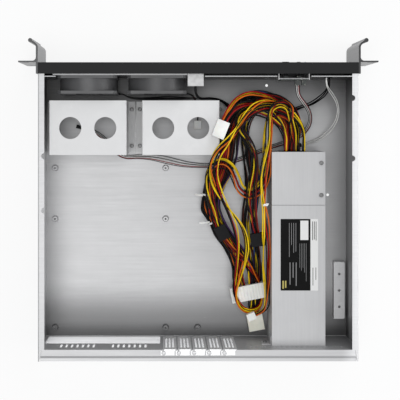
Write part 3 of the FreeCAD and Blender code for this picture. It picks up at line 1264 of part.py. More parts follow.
def placed_connector(place, direction, form):
    """A connector with the middle of its rear face at the place, pointing along the direction."""
    shape = connector_shape(*form)
    flat = math.hypot(direction.x, direction.y)
    heading = math.degrees(math.atan2(direction.y, direction.x))
    rise = math.degrees(math.atan2(direction.z, flat))
    turn = FreeCAD.Rotation(V(0, 0, 1), heading).multiply(FreeCAD.Rotation(V(0, 1, 0), -rise))
    shape.Placement = FreeCAD.Placement(place, turn)
    return shape


def connector_on(cord, form):
    """A connector whose rear face meets the far end of a cord and which points on in its direction."""
    before, end = cord_points(cord)[-2:]
    return placed_connector(end, end - before, form)


def cord_points(cord):
    """The corners of a cord's route in the case."""
    _, start, corners = CORDS[cord]
    x, y = (worked_out(expression) for expression in CORD_STARTS[start])
    return [V(x + a, y + b, c) for a, b, c in corners]


def cord_path(points):
    """Straight runs joined by tangent arcs, each as large as its two runs allow."""
    edges, radii = [], []
    start = points[0]
    for before, corner, after in zip(points, points[1:], points[2:]):
        arriving, leaving = (corner - before).normalize(), (after - corner).normalize()
        half_turn = arriving.getAngle(leaving) / 2
        setback = 0.45 * min((corner - before).Length, (after - corner).Length)
        enter, leave = corner - arriving * setback, corner + leaving * setback
        radius = setback / math.tan(half_turn)
        inward = (leaving - arriving).normalize()
        middle = corner + inward * (radius / math.cos(half_turn) - radius)
        edges += [Part.LineSegment(start, enter), Part.Arc(enter, middle, leave)]
        radii.append(radius)
        start = leave
    edges.append(Part.LineSegment(start, points[-1]))
    return Part.Wire([edge.toShape() for edge in edges]), radii


def make_cord(label):
    """A cord as a plain tube; its volume is compared with its section times its length."""
    diameter, points = CORDS[label][0], cord_points(label)
    path, radii = cord_path(points)
    ring = Part.Wire(Part.Circle(points[0], points[1] - points[0], diameter / 2).toShape())
    tube = path.makePipeShell([ring], True, True)
    expected = math.pi * diameter ** 2 / 4 * path.Length
    if abs(tube.Volume / expected - 1) > 0.01:
        raise ValueError(f"{label}: volume {tube.Volume:.0f}, expected {expected:.0f}")
    smallest = min(radii)
    print(f"{label}: length {path.Length:.0f}, smallest radius {smallest:.1f} = {smallest / diameter:.1f} d")
    return finish_shape(tube, label)


# Where the routes of the cords are measured from: a place across the case and one along it.
CORD_STARTS = {
    "supply": (PSU_CENTRE_X, "d.psu_bay_front_y"),
    "ports": (PORT_X, "d.port_bracket_rear_y"),
    "left_fan": (f"{FAN_LEFT_X} - d.fan_size / 2", "d.fan_plate_y + d.fan_plate_sheet + d.fan_depth"),
    "right_fan": (f"{FAN_RIGHT_X} - d.fan_size / 2", "d.fan_plate_y + d.fan_plate_sheet + d.fan_depth"),
    "lead_hole": (LEAD_HOLE_X, "d.front_wall_y"),
    "controls": (CONTROL_X, "d.control_board_y"),
}

# Each cord: diameter, its start, and the corners of its route from where it leaves the object to its end.
CORDS = {
    "main_cable_a": (8.0, "supply", [
        (9.5, -0.5, 21.5), (9.5, -13, 21.5), (7, -33, 21.5), (12, -53, 21.5), (25, -69, 21.5),
        (44, -76, 21.5), (64, -74, 21.5), (81, -65, 21.5), (93, -50, 21.5), (99.5, -31, 21.5),
        (99.4, -11, 21.5), (101.5, 7, 21.5), (110, 25, 21.5), (123.5, 50, 21.5), (128, 73, 21.5),
        (123.5, 89, 21.5), (110.5, 113, 21.5), (97, 134, 21.5), (87, 155, 22.5), (80.47, 175.66, 26),
        (77.8, 189.4, 26),
    ]),
    "main_cable_b": (8.0, "supply", [
        (-0.5, -0.5, 30.5), (-0.5, -13, 30.5), (-2, -33, 30.5), (5, -53, 30.5), (20, -67, 30.5),
        (39, -73, 30.5), (58, -68, 30.5), (75, -57, 30.5), (87, -40, 30.5), (94.5, -18, 30.5),
        (98, 5, 30.5), (108, 27, 30.5), (119, 49, 30.5), (123, 71, 30.5), (117, 94, 30.5),
        (104, 115, 30.5), (88, 134, 30.5), (72, 149, 29.5), (61.01, 165.77, 26), (57.2, 185.4, 26),
    ]),
    "graphics_cable": (8.0, "supply", [
        (-5, -0.5, 12.5), (-5, -15, 12.5), (0, -31, 12.5), (8.5, -45.5, 12.5), (18, -60.2, 12.5),
        (34, -67, 12.5), (51, -63.1, 12.5), (62.8, -50.3, 12.5), (65.1, -32, 12.5), (60, -11, 12.5),
        (54, 11, 12.5), (48, 35, 12.5), (49, 64, 12.5), (55, 93, 12.5), (62, 121, 12.5),
        (65, 150, 12.5), (65, 178, 12.5), (61, 206, 12.5), (56.4, 231, 12.5),
    ]),
    "processor_cable": (7.0, "supply", [
        (8, -0.5, 41), (8, -15, 41), (7, -35, 41), (15, -53, 40.6), (29, -66.5, 44.3),
        (49, -75.5, 52.5), (69, -77.5, 61), (86, -71, 69), (97, -56.5, 74.8), (102.8, -42.2, 75),
    ]),
    "drive_cable_a": (5.0, "supply", [
        (16, -0.5, 52.9), (16, -13, 52.9), (18, -31, 52.9), (29, -47, 52.9), (45, -58, 52.9),
        (63, -62, 52.9), (78, -56, 52.9), (85, -42, 52.9), (80, -27, 52.9), (68, -15, 52.9),
        (58, 1, 52.9), (55, 23, 52.9), (58, 46, 52.9), (60, 69, 52.9), (59, 91, 52.9), (56, 112, 52),
    ]),
    "drive_cable_b": (4.0, "supply", [
        (-8, -0.5, 52.9), (-8, -13, 52.9), (-7, -32, 57.8), (4, -49, 58.3), (20, -61, 58.3),
        (40, -68, 60), (59, -64, 66), (75, -52, 72), (86, -34, 76.4), (98.5, -15, 77), (114, -1, 77),
        (123, 18, 76), (122, 41, 72), (112, 63, 67.5), (97, 83, 63.5), (84, 103, 60), (77, 126, 56),
        (77, 151, 52), (82, 175, 47), (86, 195, 42), (83, 211, 37.5), (74.5, 222, 31.5),
        (63, 226, 25.5), (52, 222.5, 20), (45.7, 214, 16), (44.7, 203, 14.2),
    ]),
    "sata_cable": (4.0, "supply", [
        (0, -0.5, 47.2), (0, -13, 47.2), (1, -32, 47.2), (10, -48, 47.2), (25, -57, 47.2),
        (40, -50, 47.2), (46, -32, 47.2), (45, -8, 47.2), (41, 16, 47.2), (42.5, 35, 47.2),
        (49.5, 52, 47.2), (65, 61.5, 47.2), (80, 53, 47.2), (83.5, 35, 47.2), (90, 20, 47.2),
        (102, 12, 47.2), (115, 15, 47.2), (123, 28, 47.2), (125, 47, 47.2), (123, 67, 47.2),
        (116, 87, 47.2), (108, 103, 47.2),
    ]),
    "accessory_cable": (3.5, "supply", [
        (4, -0.5, 52.9), (4, -9, 52.9), (5.5, -22, 57.5), (9, -37, 62.5), (11.5, -51, 63.7),
        (14, -59.6, 63.7), (20.5, -64.4, 63.7), (28.5, -64.4, 63.7), (35, -59.6, 63.7),
        (37.5, -51, 63.7), (38.5, -36, 63.7), (39, -14, 63.7), (43, 10, 63.7), (48, 35, 63.7),
        (49, 60, 63.7), (46, 85, 63.7), (42, 111, 60.5), (39.5, 135, 53), (39.4, 158, 45),
        (39.8, 179, 41.5), (39.4, 197, 38.5), (40.7, 212, 38.6), (46.5, 222.5, 39.2), (57, 227, 39),
    ]),
    "usb_cable": (3.5, "ports", [
        (0, 0, 70), (0, 6.8, 70), (-2.1, 12.7, 67.2), (-5.8, 16.1, 62.3), (-10.4, 16.5, 55.6),
        (-17.7, 15.5, 46.4), (-25.7, 15.6, 36.8), (-34.2, 16.7, 27), (-42.7, 21.3, 18),
        (-49.7, 28.8, 12), (-56.2, 37.8, 9), (-61.7, 46.8, 7.5),
    ]),
    "fan_lead_left": (2.5, "left_fan", [
        (0, -1.4, 22), (-5.9, -1.4, 22), (-12, 2.4, 21.1), (-21.5, 4.6, 20.2), (-40.5, 5.2, 18.3),
        (-61.5, 4.5, 17.2), (-82.5, 5.4, 15.8), (-103.5, 4.5, 15), (-123.5, 4.8, 13.3),
        (-140.5, 6.2, 10.5), (-152.5, 12, 8), (-163.5, 20, 6),
    ]),
    "fan_lead_right": (2.5, "right_fan", [
        (0, -2, 14), (-5.5, -2, 14), (-11, 1, 12), (-14.5, 8, 9.8), (-16.5, 17, 8), (-17.5, 27, 6.8),
        (-17.5, 36, 6.5),
    ]),
    "panel_cable": (4.0, "lead_hole", [
        (-3, 1.3, 54), (-3, 10.8, 54), (0.5, 20.8, 48.8), (9, 28.8, 38), (19, 35.8, 26), (30, 39.8, 15),
        (41, 44.8, 7.5), (54, 51.8, 4.8), (66, 58.8, 4.5),
    ]),
    "led_lead": (2.4, "lead_hole", [
        (3, 1.3, 66), (3, 9.8, 66), (-0.5, 17.3, 62.3), (-8, 25.3, 54.5), (-15.5, 35.3, 45.5),
        (-19, 48.8, 35), (-16.5, 63.8, 24), (-7, 76.8, 14.5), (6, 86.8, 8), (19, 92.3, 5.2),
        (28, 94.3, 4.7),
    ]),
    "signal_leads": (3.0, "controls", [
        (-5, 8, 76), (-5, 16.6, 76), (-7.5, 23.1, 72), (-14, 30.1, 62.5), (-22, 38.1, 50),
        (-28, 47.6, 38), (-30, 60.6, 21), (-24, 72.6, 8.5), (-12, 81.6, 5), (7, 87.6, 5.5),
        (29, 94.6, 5.5), (53, 104.6, 5.5), (77, 113.6, 5.5), (101, 118.6, 5.5), (125, 119.1, 5.5),
        (149, 116.1, 5.5), (172, 110.1, 5.5), (193, 106.6, 5.5), (213, 106.2, 5.5), (230, 107.6, 5.5),
        (242, 101.1, 5.5), (252, 89.1, 5.5), (263, 77.6, 5.5), (276, 69.6, 5.5), (292, 65.6, 5.5),
    ]),
}

MAIN_PLUG = (21, 50, 14, 12, 2)
GRAPHICS_PLUG = (23, 22, 10, 4, 2)
PROCESSOR_PLUG = (24, 17, 9.6, 4, 2)
FLAT_PLUG = (20, 17, 6.5, 6, 1)
DRIVE_PLUG = (18, 20, 8, 4, 1)
SMALL_PLUG = (12, 10, 8, 4, 1)
FAN_PLUG = (12, 10, 6, 4, 1)
HEADER_PLUG = (8, 5.2, 5.2, 2, 2)


def make_connectors():
    """Every connector, at the far end of its cord."""
    end_a, end_b = cord_points("main_cable_a")[-1], cord_points("main_cable_b")[-1]
    ahead = V(0, 0, 1).cross(end_a - end_b)
    main = placed_connector((end_a + end_b) * 0.5, ahead, MAIN_PLUG)
    finish_shape(Part.makeCompound([main]), "main_connector")
    groups = {
        "graphics_connector": [("graphics_cable", GRAPHICS_PLUG)],
        "processor_connector": [("processor_cable", PROCESSOR_PLUG)],
        "drive_connectors": [("sata_cable", FLAT_PLUG), ("drive_cable_a", DRIVE_PLUG)],
        "accessory_connectors": [("drive_cable_b", SMALL_PLUG), ("accessory_cable", SMALL_PLUG)],
        "fan_connector": [("fan_lead_right", FAN_PLUG)],
        "header_connectors": [(cord, HEADER_PLUG) for cord in (
            "fan_lead_left", "usb_cable", "panel_cable", "signal_leads", "led_lead")],
    }
    for label, plugs in groups.items():
        finish_shape(Part.makeCompound([connector_on(cord, form) for cord, form in plugs]), label)


def make_cable_ties():
    """White ties round the main and accessory cables, each a strap with its square head."""
    ties = []
    for cord, run in (("main_cable_a", 13), ("main_cable_a", 15), ("accessory_cable", 14)):
        diameter, points = CORDS[cord][0], cord_points(cord)
        start, end = points[run], points[run + 1]
        axis, middle = (end - start).normalize(), (start + end) * 0.5
        low = middle - axis * (size("tie_width") / 2)
        inside, thick = diameter / 2 + size("tie_gap"), size("tie_strap")
        strap = Part.makeCylinder(inside + thick, size("tie_width"), low, axis)
        head = Part.makeBox(size("tie_width") + 0.8, 3.4, 3, V(-size("tie_width") / 2 - 0.4, inside, -1.5))
        head.Placement = FreeCAD.Placement(middle, FreeCAD.Rotation(V(1, 0, 0), axis))
        clear = size("tie_width") + 4
        bore = Part.makeCylinder(inside, clear, middle - axis * (clear / 2), axis)
        ties.append(strap.fuse(head).cut(bore).removeSplitter())
    finish_shape(Part.makeCompound(ties), "cable_ties")


# ---------------------------------------------------------------- the whole case
make_base_tray()
make_rear_wall()
for number in range(1, int(size("slot_count")) + 1):
    make_slot_cover(number)
make_front_wall()
make_fan_plate()
make_front_panel()
make_ear_handle("left_ear_handle", False)
make_ear_handle("right_ear_handle", True)

FAN_Y = "d.fan_plate_y + d.fan_plate_sheet"
make_fan_frame("fan_frame_left", "fan", FAN_LEFT_X, FAN_Y, "d.fan_centre_z")
make_fan_frame("fan_frame_right", "fan", FAN_RIGHT_X, FAN_Y, "d.fan_centre_z")
make_fan_rotor("fan_rotor_left", "fan", 7, FAN_LEFT_X, FAN_Y, "d.fan_centre_z")
make_fan_rotor("fan_rotor_right", "fan", 7, FAN_RIGHT_X, FAN_Y, "d.fan_centre_z")
make_drive_bracket("drive_bracket_left", BRACKET_LEFT_X)
make_drive_bracket("drive_bracket_right", BRACKET_RIGHT_X)
make_side_rail()
make_screws()

make_psu_housing()
make_psu_bay()
make_psu_rear_plate()
make_inlet()
make_rocker()
make_psu_foot()
PSU_FAN_Y = f"{PSU_REAR_Y} - d.psu_fan_depth"
make_fan_frame("psu_fan_frame", "psu_fan", PSU_FAN_X, PSU_FAN_Y, "d.psu_fan_z")
make_fan_rotor("psu_fan_rotor", "psu_fan", 5, PSU_FAN_X, PSU_FAN_Y, "d.psu_fan_z")
make_grommets()

make_ports()
make_controls()
for cord in CORDS:
    make_cord(cord)
make_connectors()
make_cable_ties()

doc.recompute()
for thing in doc.Objects:
    if "Invalid" in thing.State or "Error" in thing.State:
        raise ValueError(f"{thing.Label} is {thing.State}")
for thing in finished:
    if thing.Shape.isNull() or not thing.Shape.isValid():
        raise ValueError(f"{thing.Label} has no valid shape")

box = FreeCAD.BoundBox()
for thing in finished:
    box.add(thing.Shape.BoundBox)
print(f"{len(finished)} sub-parts, {box.XLength:.1f} x {box.YLength:.1f} x {box.ZLength:.1f} mm,"
      f" middle {box.Center.x:.2f}, {box.Center.y:.2f}, bottom {box.ZMin:.2f}")
os.makedirs("parts", exist_ok=True)
for thing in finished:
    thing.Shape.exportStep(f"parts/{thing.Label}.step")
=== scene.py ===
"""Visual model of an open 2U rackmount server case.

It gives the sheet metal, fans, supply and plugs their finishes, draws every cable as single wires,
and adds the supply's label, the main connector's ribs and the tails of the cable ties. Everything
is in metres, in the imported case's own frame.
"""

import json
import math
import random

import bmesh
import bpy
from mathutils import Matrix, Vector


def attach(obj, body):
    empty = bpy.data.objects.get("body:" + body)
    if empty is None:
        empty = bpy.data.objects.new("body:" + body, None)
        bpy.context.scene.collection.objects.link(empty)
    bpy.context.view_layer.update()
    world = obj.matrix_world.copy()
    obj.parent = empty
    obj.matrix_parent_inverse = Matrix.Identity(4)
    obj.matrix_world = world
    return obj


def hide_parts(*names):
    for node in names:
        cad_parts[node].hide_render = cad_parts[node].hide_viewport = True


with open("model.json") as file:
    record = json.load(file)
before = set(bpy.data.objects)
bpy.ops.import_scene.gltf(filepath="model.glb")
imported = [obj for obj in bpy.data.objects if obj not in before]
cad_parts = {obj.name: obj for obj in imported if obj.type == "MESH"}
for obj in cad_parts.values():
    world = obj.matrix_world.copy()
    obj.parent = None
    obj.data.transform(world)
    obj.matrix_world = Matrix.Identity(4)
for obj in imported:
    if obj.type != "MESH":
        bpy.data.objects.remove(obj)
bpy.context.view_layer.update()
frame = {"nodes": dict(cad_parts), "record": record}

EAR_FACE_Y = -0.1865915
UP = Vector((0, 0, 1))
MM_PER_M = 1000


def at(x, y, z):
    """A place whose y is counted rearwards from the front face of the rack ears."""
    return Vector((x, y + EAR_FACE_Y, z))


def new_object(name, data):
    """An object of the scene that shows this data."""
    made = bpy.data.objects.new(name, data)
    bpy.context.collection.objects.link(made)
    return made


def real_mesh(thing):
    """The mesh of an object whose curve or modifiers are worked out."""
    bpy.context.view_layer.update()
    depsgraph = bpy.context.evaluated_depsgraph_get()
    return bpy.data.meshes.new_from_object(thing.evaluated_get(depsgraph))


def add_node(tree, kind, settings=None, sockets=None):
    """A node with its settings made, and its sockets linked or set to constants."""
    made = tree.nodes.new(kind)
    for name, value in (settings or {}).items():
        setattr(made, name, value)
    for name, value in (sockets or {}).items():
        if isinstance(value, Field):
            value = value.socket
        if isinstance(value, bpy.types.NodeSocket):
            tree.links.new(value, made.inputs[name])
        else:
            made.inputs[name].default_value = value
    return made


# ---------------------------------------------------------------- camera
# It looks straight down from above a drive bracket, its lens shifted to hold the whole case.
camera_data = bpy.data.cameras.new("bench_camera")
camera_data.lens, camera_data.sensor_width = 86.1, 36.0
camera_data.shift_x, camera_data.shift_y = 0.0875, -0.1875
camera_data.clip_end = 20
camera = new_object("bench_camera", camera_data)
camera.location = at(0.0446, 0.0862, 1.369)
camera.rotation_euler = (0, 0, math.pi)
bpy.context.scene.camera = camera
bpy.context.scene.view_settings.view_transform = "Standard"


# ---------------------------------------------------------------- making of finishes
# Sockets of a Mix node that blends colours.
MIX_FACTOR, MIX_FIRST, MIX_SECOND, MIX_RESULT = 0, 6, 7, 2


def operator(operation, reflected=False):
    """A method that joins a field and another field or number by a Math node."""
    def apply(self, other):
        pair = (other, self) if reflected else (self, other)
        return self.finish.maths(operation, *pair)
    return apply


class Field:
    """A value that varies over a surface; arithmetic on it adds Math nodes to its finish."""

    def __init__(self, finish, socket):
        self.finish, self.socket = finish, socket

    __add__, __mul__ = operator("ADD"), operator("MULTIPLY")
    __sub__, __rsub__ = operator("SUBTRACT"), operator("SUBTRACT", reflected=True)
    __gt__, __lt__ = operator("GREATER_THAN"), operator("LESS_THAN")


class Finish:
    """One material, built node by node in the object's own coordinates."""

    def __init__(self, name):
        self.material = bpy.data.materials.new(name)
        self.material.use_nodes = True
        self.tree = self.material.node_tree
        self.tree.nodes.clear()
        self.place = self.node("ShaderNodeTexCoord").outputs["Object"]

    def node(self, kind, settings=None, sockets=None):
        return add_node(self.tree, kind, settings, sockets)

    def field(self, kind, settings, sockets):
        """The first output of a new node."""
        return Field(self, self.node(kind, settings, sockets).outputs[0])

    def maths(self, operation, *values):
        return self.field("ShaderNodeMath", {"operation": operation}, dict(enumerate(values)))

    def axes(self):
        split = self.node("ShaderNodeSeparateXYZ", None, {0: self.place})
        return [Field(self, output) for output in split.outputs]

    def case_axes(self):
        """x, y and z, with y from the front face of the rack ears."""
        x, y, z = self.axes()
        return x, y - EAR_FACE_Y, z

    def noise(self, scale, stretch=(1, 1, 1), detail=3.0, roughness=0.5):
        mapped = self.node("ShaderNodeMapping", None, {"Vector": self.place, "Scale": stretch})
        return self.field("ShaderNodeTexNoise", None, {
            "Vector": mapped.outputs[0], "Scale": scale, "Detail": detail, "Roughness": roughness})

    def cells(self, scale):
        """Distance from the nearest of some scattered points."""
        return self.field("ShaderNodeTexVoronoi", None, {"Vector": self.place, "Scale": scale})

    def between(self, value, low, high):
        """0 below low and 1 above high, smooth between them."""
        return self.field("ShaderNodeMapRange", {"interpolation_type": "SMOOTHSTEP"}, {
            "Value": value, "From Min": low, "From Max": high})

    def blend(self, factor, first, second):
        """The first colour where the factor is 0, and the second where it is 1."""
        first, second = [(*c, 1) if isinstance(c, tuple) else c for c in (first, second)]
        made = self.node("ShaderNodeMix", {"data_type": "RGBA"}, {
            MIX_FACTOR: factor, MIX_FIRST: first, MIX_SECOND: second})
        return made.outputs[MIX_RESULT]

    def bump(self, height, distance, strength):
        made = self.node("ShaderNodeBump", None, {
            "Height": height, "Distance": distance, "Strength": strength})
        return made.outputs[0]

    def finished(self, shader):
        """The material, with this shader as its surface."""
        self.node("ShaderNodeOutputMaterial", None, {"Surface": shader.outputs[0]})
        return self.material

    def surface(self, **sockets):
        """The material, with a Principled shader as its surface."""
        names = {"colour": "Base Color", "roughness": "Roughness", "metallic": "Metallic",
                 "normal": "Normal", "specular": "Specular IOR Level",
                 "subsurface": "Subsurface Weight"}
        return self.finished(self.node("ShaderNodeBsdfPrincipled", None, {
            names[key]: value for key, value in sockets.items()}))


def tone(colour, factor):
    """A colour made lighter or darker."""
    return tuple(c * factor for c in colour)


def uneven(field, amount):
    """A field between 0 and 1 turned into a swing about 0."""
    return (field - 0.5) * amount


# ---------------------------------------------------------------- kinds of finish
# Zinc colours: painted shade, the sheet's own tone, painted light on the inner walls, and a painted
# highlight on the folded rims.
ZINC_PAINTED_SHADE = (0.016, 0.016, 0.0165)
ZINC, ZINC_PAINTED_WALL_LIGHT, ZINC_RIM_HIGHLIGHT = (0.44, 0.44, 0.444), (0.66, 0.66, 0.666), (0.74, 0.74, 0.746)

# Where the case's painted light and shade change, in metres. Pairs are the start and end of a
# gradual change.
INNER_HALF_WIDTH, FLOOR_MIDDLE_Z = 0.2145, 0.0005
REAR_WALL_Y, REAR_LEDGE_Y = 0.3870, 0.3886
WALL_ABOVE_FLOOR, RIM_ABOVE_WALL = (0.010, 0.030), (0.0815, 0.0850)
LEFT_WALL, RIGHT_RIM = (0.19, 0.21), (-0.215, -0.19)
# Painted light on the left inner wall, as a share of the walls' colour, and painted shade on every
# rim but the right one.
LEFT_WALL_PAINTED_LIGHT, RIM_PAINTED_SHADE = 1.42, 0.66
# Painted shade on the inside: where each lies, and what share of the zinc's colour it takes away.
FRONT_SHADE, FRONT_LOSS = (0.014, 0.086), 0.88
RIGHT_SHADE, RIGHT_LOSS = (-0.226, -0.165), 0.50
REAR_SHADE, REAR_LOSS = (0.306, 0.362), 0.64
REAR_CORNER_SHADE, REAR_CORNER_LOSS = (0.364, 0.386), 0.62
# On the left, the front shade begins to fade this much further back, and ends a share of it later.
LEFT_PART, FRONT_REACH, FRONT_END_SHARE = (-0.02, 0.03), 0.030, 0.2
# Heights above which an ear's top faces are painted darker than its sides, as painted light and
# shade, and a screw on the case's top gets a painted highlight.
EAR_TOP_Z, TOP_SCREW_Z = 0.0875, 0.0849


def rolled_sheet(name, colour, roughness=0.42, metallic=0.35, grain=(14, 520, 520),
                 painted_light=None):
    """Zinc-coated sheet: fine rolling grain, faint clouds and small handling marks."""
    f = Finish(name)
    clouds = f.noise(scale=7, detail=4, roughness=0.6)
    lines = f.noise(scale=1, stretch=grain, detail=4, roughness=0.65)
    marks = f.noise(scale=60, stretch=(1, 3, 1), detail=6, roughness=0.75)
    base = f.blend(f.between(clouds, 0.32, 0.7), tone(colour, 0.94), tone(colour, 1.06))
    # A case's painted light and shade, when given, goes onto the clouded colour here.
    if painted_light is not None:
        base = painted_light(f, base)
    shade = f.blend(f.between(lines, 0.3, 0.7) * 0.10, base, tone(colour, 0.55))
    shade = f.blend(f.between(marks, 0.64, 0.76) * 0.10, shade, tone(colour, 1.3))
    gloss = uneven(lines, 0.14) + uneven(clouds, 0.10) + roughness
    return f.surface(colour=shade, roughness=gloss, metallic=metallic,
                     normal=f.bump(lines, distance=0.00004, strength=0.5))


def case_painted_light(f, base):
    """Painted shade inside at the front, rear and right; painted light on inner walls and rims."""
    x, y, z = f.case_axes()
    inside = (x < INNER_HALF_WIDTH) * (x > -INNER_HALF_WIDTH) * (z > FLOOR_MIDDLE_Z)
    inside = inside * (y < REAR_WALL_Y)
    wall = f.between(z, *WALL_ABOVE_FLOOR)
    left_wall = f.between(x, *LEFT_WALL)
    # Painted light: the inner walls are painted lighter than the floor, the left wall lighter
    # still.
    base = f.blend(wall * inside, base,
                   f.blend(left_wall, ZINC_PAINTED_WALL_LIGHT, tone(ZINC_PAINTED_WALL_LIGHT, LEFT_WALL_PAINTED_LIGHT)))
    # Painted highlight on the rear ledge and the outside of the rear wall.
    base = f.blend(y > REAR_LEDGE_Y, base, ZINC_RIM_HIGHLIGHT)
    # Painted shade inside the case, at the front, the rear and the right.
    reach = f.between(x, *LEFT_PART) * FRONT_REACH
    starts, ends = FRONT_SHADE
    front = f.between(y, reach + starts, reach * FRONT_END_SHARE + ends)
    front = front * FRONT_LOSS + (1 - FRONT_LOSS)
    on_floor = 1 - wall
    rear = 1 - f.between(y, *REAR_SHADE) * on_floor * REAR_LOSS
    rear = rear * (1 - f.between(y, *REAR_CORNER_SHADE) * on_floor * REAR_CORNER_LOSS)
    right = 1 - (1 - f.between(x, *RIGHT_SHADE)) * RIGHT_LOSS
    painted_shaded = f.blend(1 - inside * (1 - front * rear * right), ZINC_PAINTED_SHADE, base)
    # Painted highlight on the folded rims, dimmer on all but the right rim.
    rim = f.blend(f.between(x, *RIGHT_RIM), ZINC_RIM_HIGHLIGHT, tone(ZINC_RIM_HIGHLIGHT, RIM_PAINTED_SHADE))
    return f.blend(f.between(z, *RIM_ABOVE_WALL), painted_shaded, rim)


def powder_coat(name, colour, roughness, specular=0.45):
    """Fine-textured powder coat with slightly rubbed high spots."""
    f = Finish(name)
    orange_peel = f.noise(scale=1900, detail=2, roughness=0.5)
    dust = f.noise(scale=26, detail=5, roughness=0.65)
    shade = f.blend(f.between(dust, 0.4, 0.75) * 0.2, colour, tone(colour, 1.3))
    return f.surface(colour=shade, roughness=uneven(orange_peel, 0.18) + roughness,
                     specular=specular, normal=f.bump(orange_peel, distance=0.00006, strength=0.55))


def anodised(name, colour):
    """Extruded aluminium under dark anodising, with fine die lines; top faces painted darker as
    shade.
    """
    f = Finish(name)
    lines = f.noise(scale=1, stretch=(900, 900, 14), detail=3, roughness=0.6)
    clouds = f.noise(scale=18, detail=3)
    shade = f.blend(f.between(lines, 0.3, 0.7), tone(colour, 0.85), tone(colour, 1.18))
    shade = f.blend(f.between(clouds, 0.5, 0.8) * 0.3, shade, tone(colour, 1.35))
    # Painted light and shade: the ear's top faces are painted much darker than its sides.
    painted_dark_tops = f.axes()[2] > EAR_TOP_Z
    shade = f.blend(painted_dark_tops * 0.9, shade, tone(colour, 0.16))
    return f.surface(colour=shade, roughness=uneven(lines, 0.16) + 0.34, metallic=0.5,
                     normal=f.bump(lines, distance=0.00003, strength=0.4))


def moulding(name, colour, roughness=0.46, subsurface=0.0, specular=0.4):
    """Moulded plastic with a fine spark-eroded texture."""
    f = Finish(name)
    pores = f.noise(scale=1400, detail=2, roughness=0.55)
    flow = f.noise(scale=30, detail=3)
    shade = f.blend(f.between(flow, 0.35, 0.7), tone(colour, 0.9), tone(colour, 1.12))
    return f.surface(colour=shade, roughness=uneven(pores, 0.2) + roughness,
                     subsurface=subsurface, specular=specular,
                     normal=f.bump(pores, distance=0.00005, strength=0.45))


def plated_steel(name, colour, roughness, metallic):
    """Plated steel with faint turning marks; screws on the case's top get a painted highlight."""
    f = Finish(name)
    stains = f.noise(scale=160, detail=4, roughness=0.6)
    fine = f.noise(scale=2400, detail=2)
    shade = f.blend(f.between(stains, 0.4, 0.75) * 0.5, colour, tone(colour, 0.7))
    # Painted highlight: pieces above the case's top are painted in the rims' highlight colour.
    shade = f.blend((f.axes()[2] > TOP_SCREW_Z) * 0.9, shade, tone(ZINC_RIM_HIGHLIGHT, 0.8))
    return f.surface(colour=shade, roughness=uneven(stains, 0.2) + roughness,
                     metallic=metallic, normal=f.bump(fine, distance=0.00002, strength=0.3))


def insulation(name, colour):
    """Extruded wire insulation: glossy, with small scuffs and dye variation."""
    f = Finish(name)
    dye = f.noise(scale=55, detail=3)
    scuffs = f.between(f.noise(scale=700, detail=4, roughness=0.7), 0.6, 0.75)
    shade = f.blend(f.between(dye, 0.35, 0.7), tone(colour, 0.8), tone(colour, 1.1))
    shade = f.blend(scuffs * 0.06, shade, (0.6, 0.6, 0.58))
    return f.surface(colour=shade, roughness=scuffs * 0.25 + 0.38, specular=0.16,
                     normal=f.bump(scuffs, distance=0.00004, strength=0.4))


def circuit_board(name, colour):
    """Solder mask over copper tracks, with tinned pads."""
    f = Finish(name)
    tracks = f.between(f.noise(scale=1, stretch=(420, 1, 90), detail=1), 0.48, 0.52)
    pads = f.cells(420) < 0.16
    shade = f.blend(tracks * 0.5, colour, tone(colour, 2.2))
    shade = f.blend(pads * 0.7, shade, (0.62, 0.6, 0.5))
    return f.surface(colour=shade, roughness=0.42 - pads * 0.16, metallic=pads * 0.6,
                     normal=f.bump(tracks, distance=0.00004, strength=0.5))


def printed_film(name, colour, roughness=0.4, specular=0.25):
    """Satin label film: faint laminate ripple and small rubs."""
    f = Finish(name)
    ripple = f.noise(scale=90, detail=2)
    rubs = f.between(f.noise(scale=300, stretch=(1, 4, 1), detail=5, roughness=0.7), 0.62, 0.74)
    shade = f.blend(rubs * 0.05, colour, (0.4, 0.4, 0.4))
    return f.surface(colour=shade, roughness=uneven(ripple, 0.15) + roughness,
                     specular=specular, normal=f.bump(ripple, distance=0.00004, strength=0.3))


# ---------------------------------------------------------------- finishes of the case
FINISHES = {
    # The case's zinc carries painted shade, painted light on its inner walls and painted highlights
    # on its rims.
    "case_sheet": rolled_sheet("zinc_sheet", ZINC, painted_light=case_painted_light),
    "slot_sheet": rolled_sheet("slot_cover_sheet", (0.76, 0.76, 0.76), roughness=0.34),
    "front_paint": powder_coat("front_powder_coat", (0.012, 0.012, 0.0125), roughness=0.6,
                               specular=0.2),
    "ear_aluminium": anodised("ear_anodising", (0.20, 0.20, 0.204)),
    "bracket_sheet": powder_coat("bracket_paint", (0.66, 0.66, 0.66), roughness=0.5),
    "supply_sheet": rolled_sheet("supply_sheet", (0.50, 0.50, 0.505), roughness=0.5,
                                 metallic=0.15, grain=(420, 12, 420)),
    "screw_steel": plated_steel("screw_plating", (0.19, 0.19, 0.19), roughness=0.42, metallic=0.6),
    "hood_steel": plated_steel("hood_plating", (0.38, 0.38, 0.38), roughness=0.4, metallic=0.5),
    "fan_plastic": moulding("fan_moulding", (0.075, 0.075, 0.077), roughness=0.42),
    "black_plastic": moulding("black_moulding", (0.008, 0.008, 0.009), specular=0.08),
    "lamp_lens": moulding("lamp_lens", (0.72, 0.76, 0.72), roughness=0.2, subsurface=0.2),
    "board_green": circuit_board("control_board_mask", (0.012, 0.016, 0.014)),
    "white_nylon": moulding("white_nylon", (0.84, 0.82, 0.78), roughness=0.4, subsurface=0.1),
    "cream_nylon": moulding("cream_nylon", (0.80, 0.77, 0.66), roughness=0.42, subsurface=0.1),
}
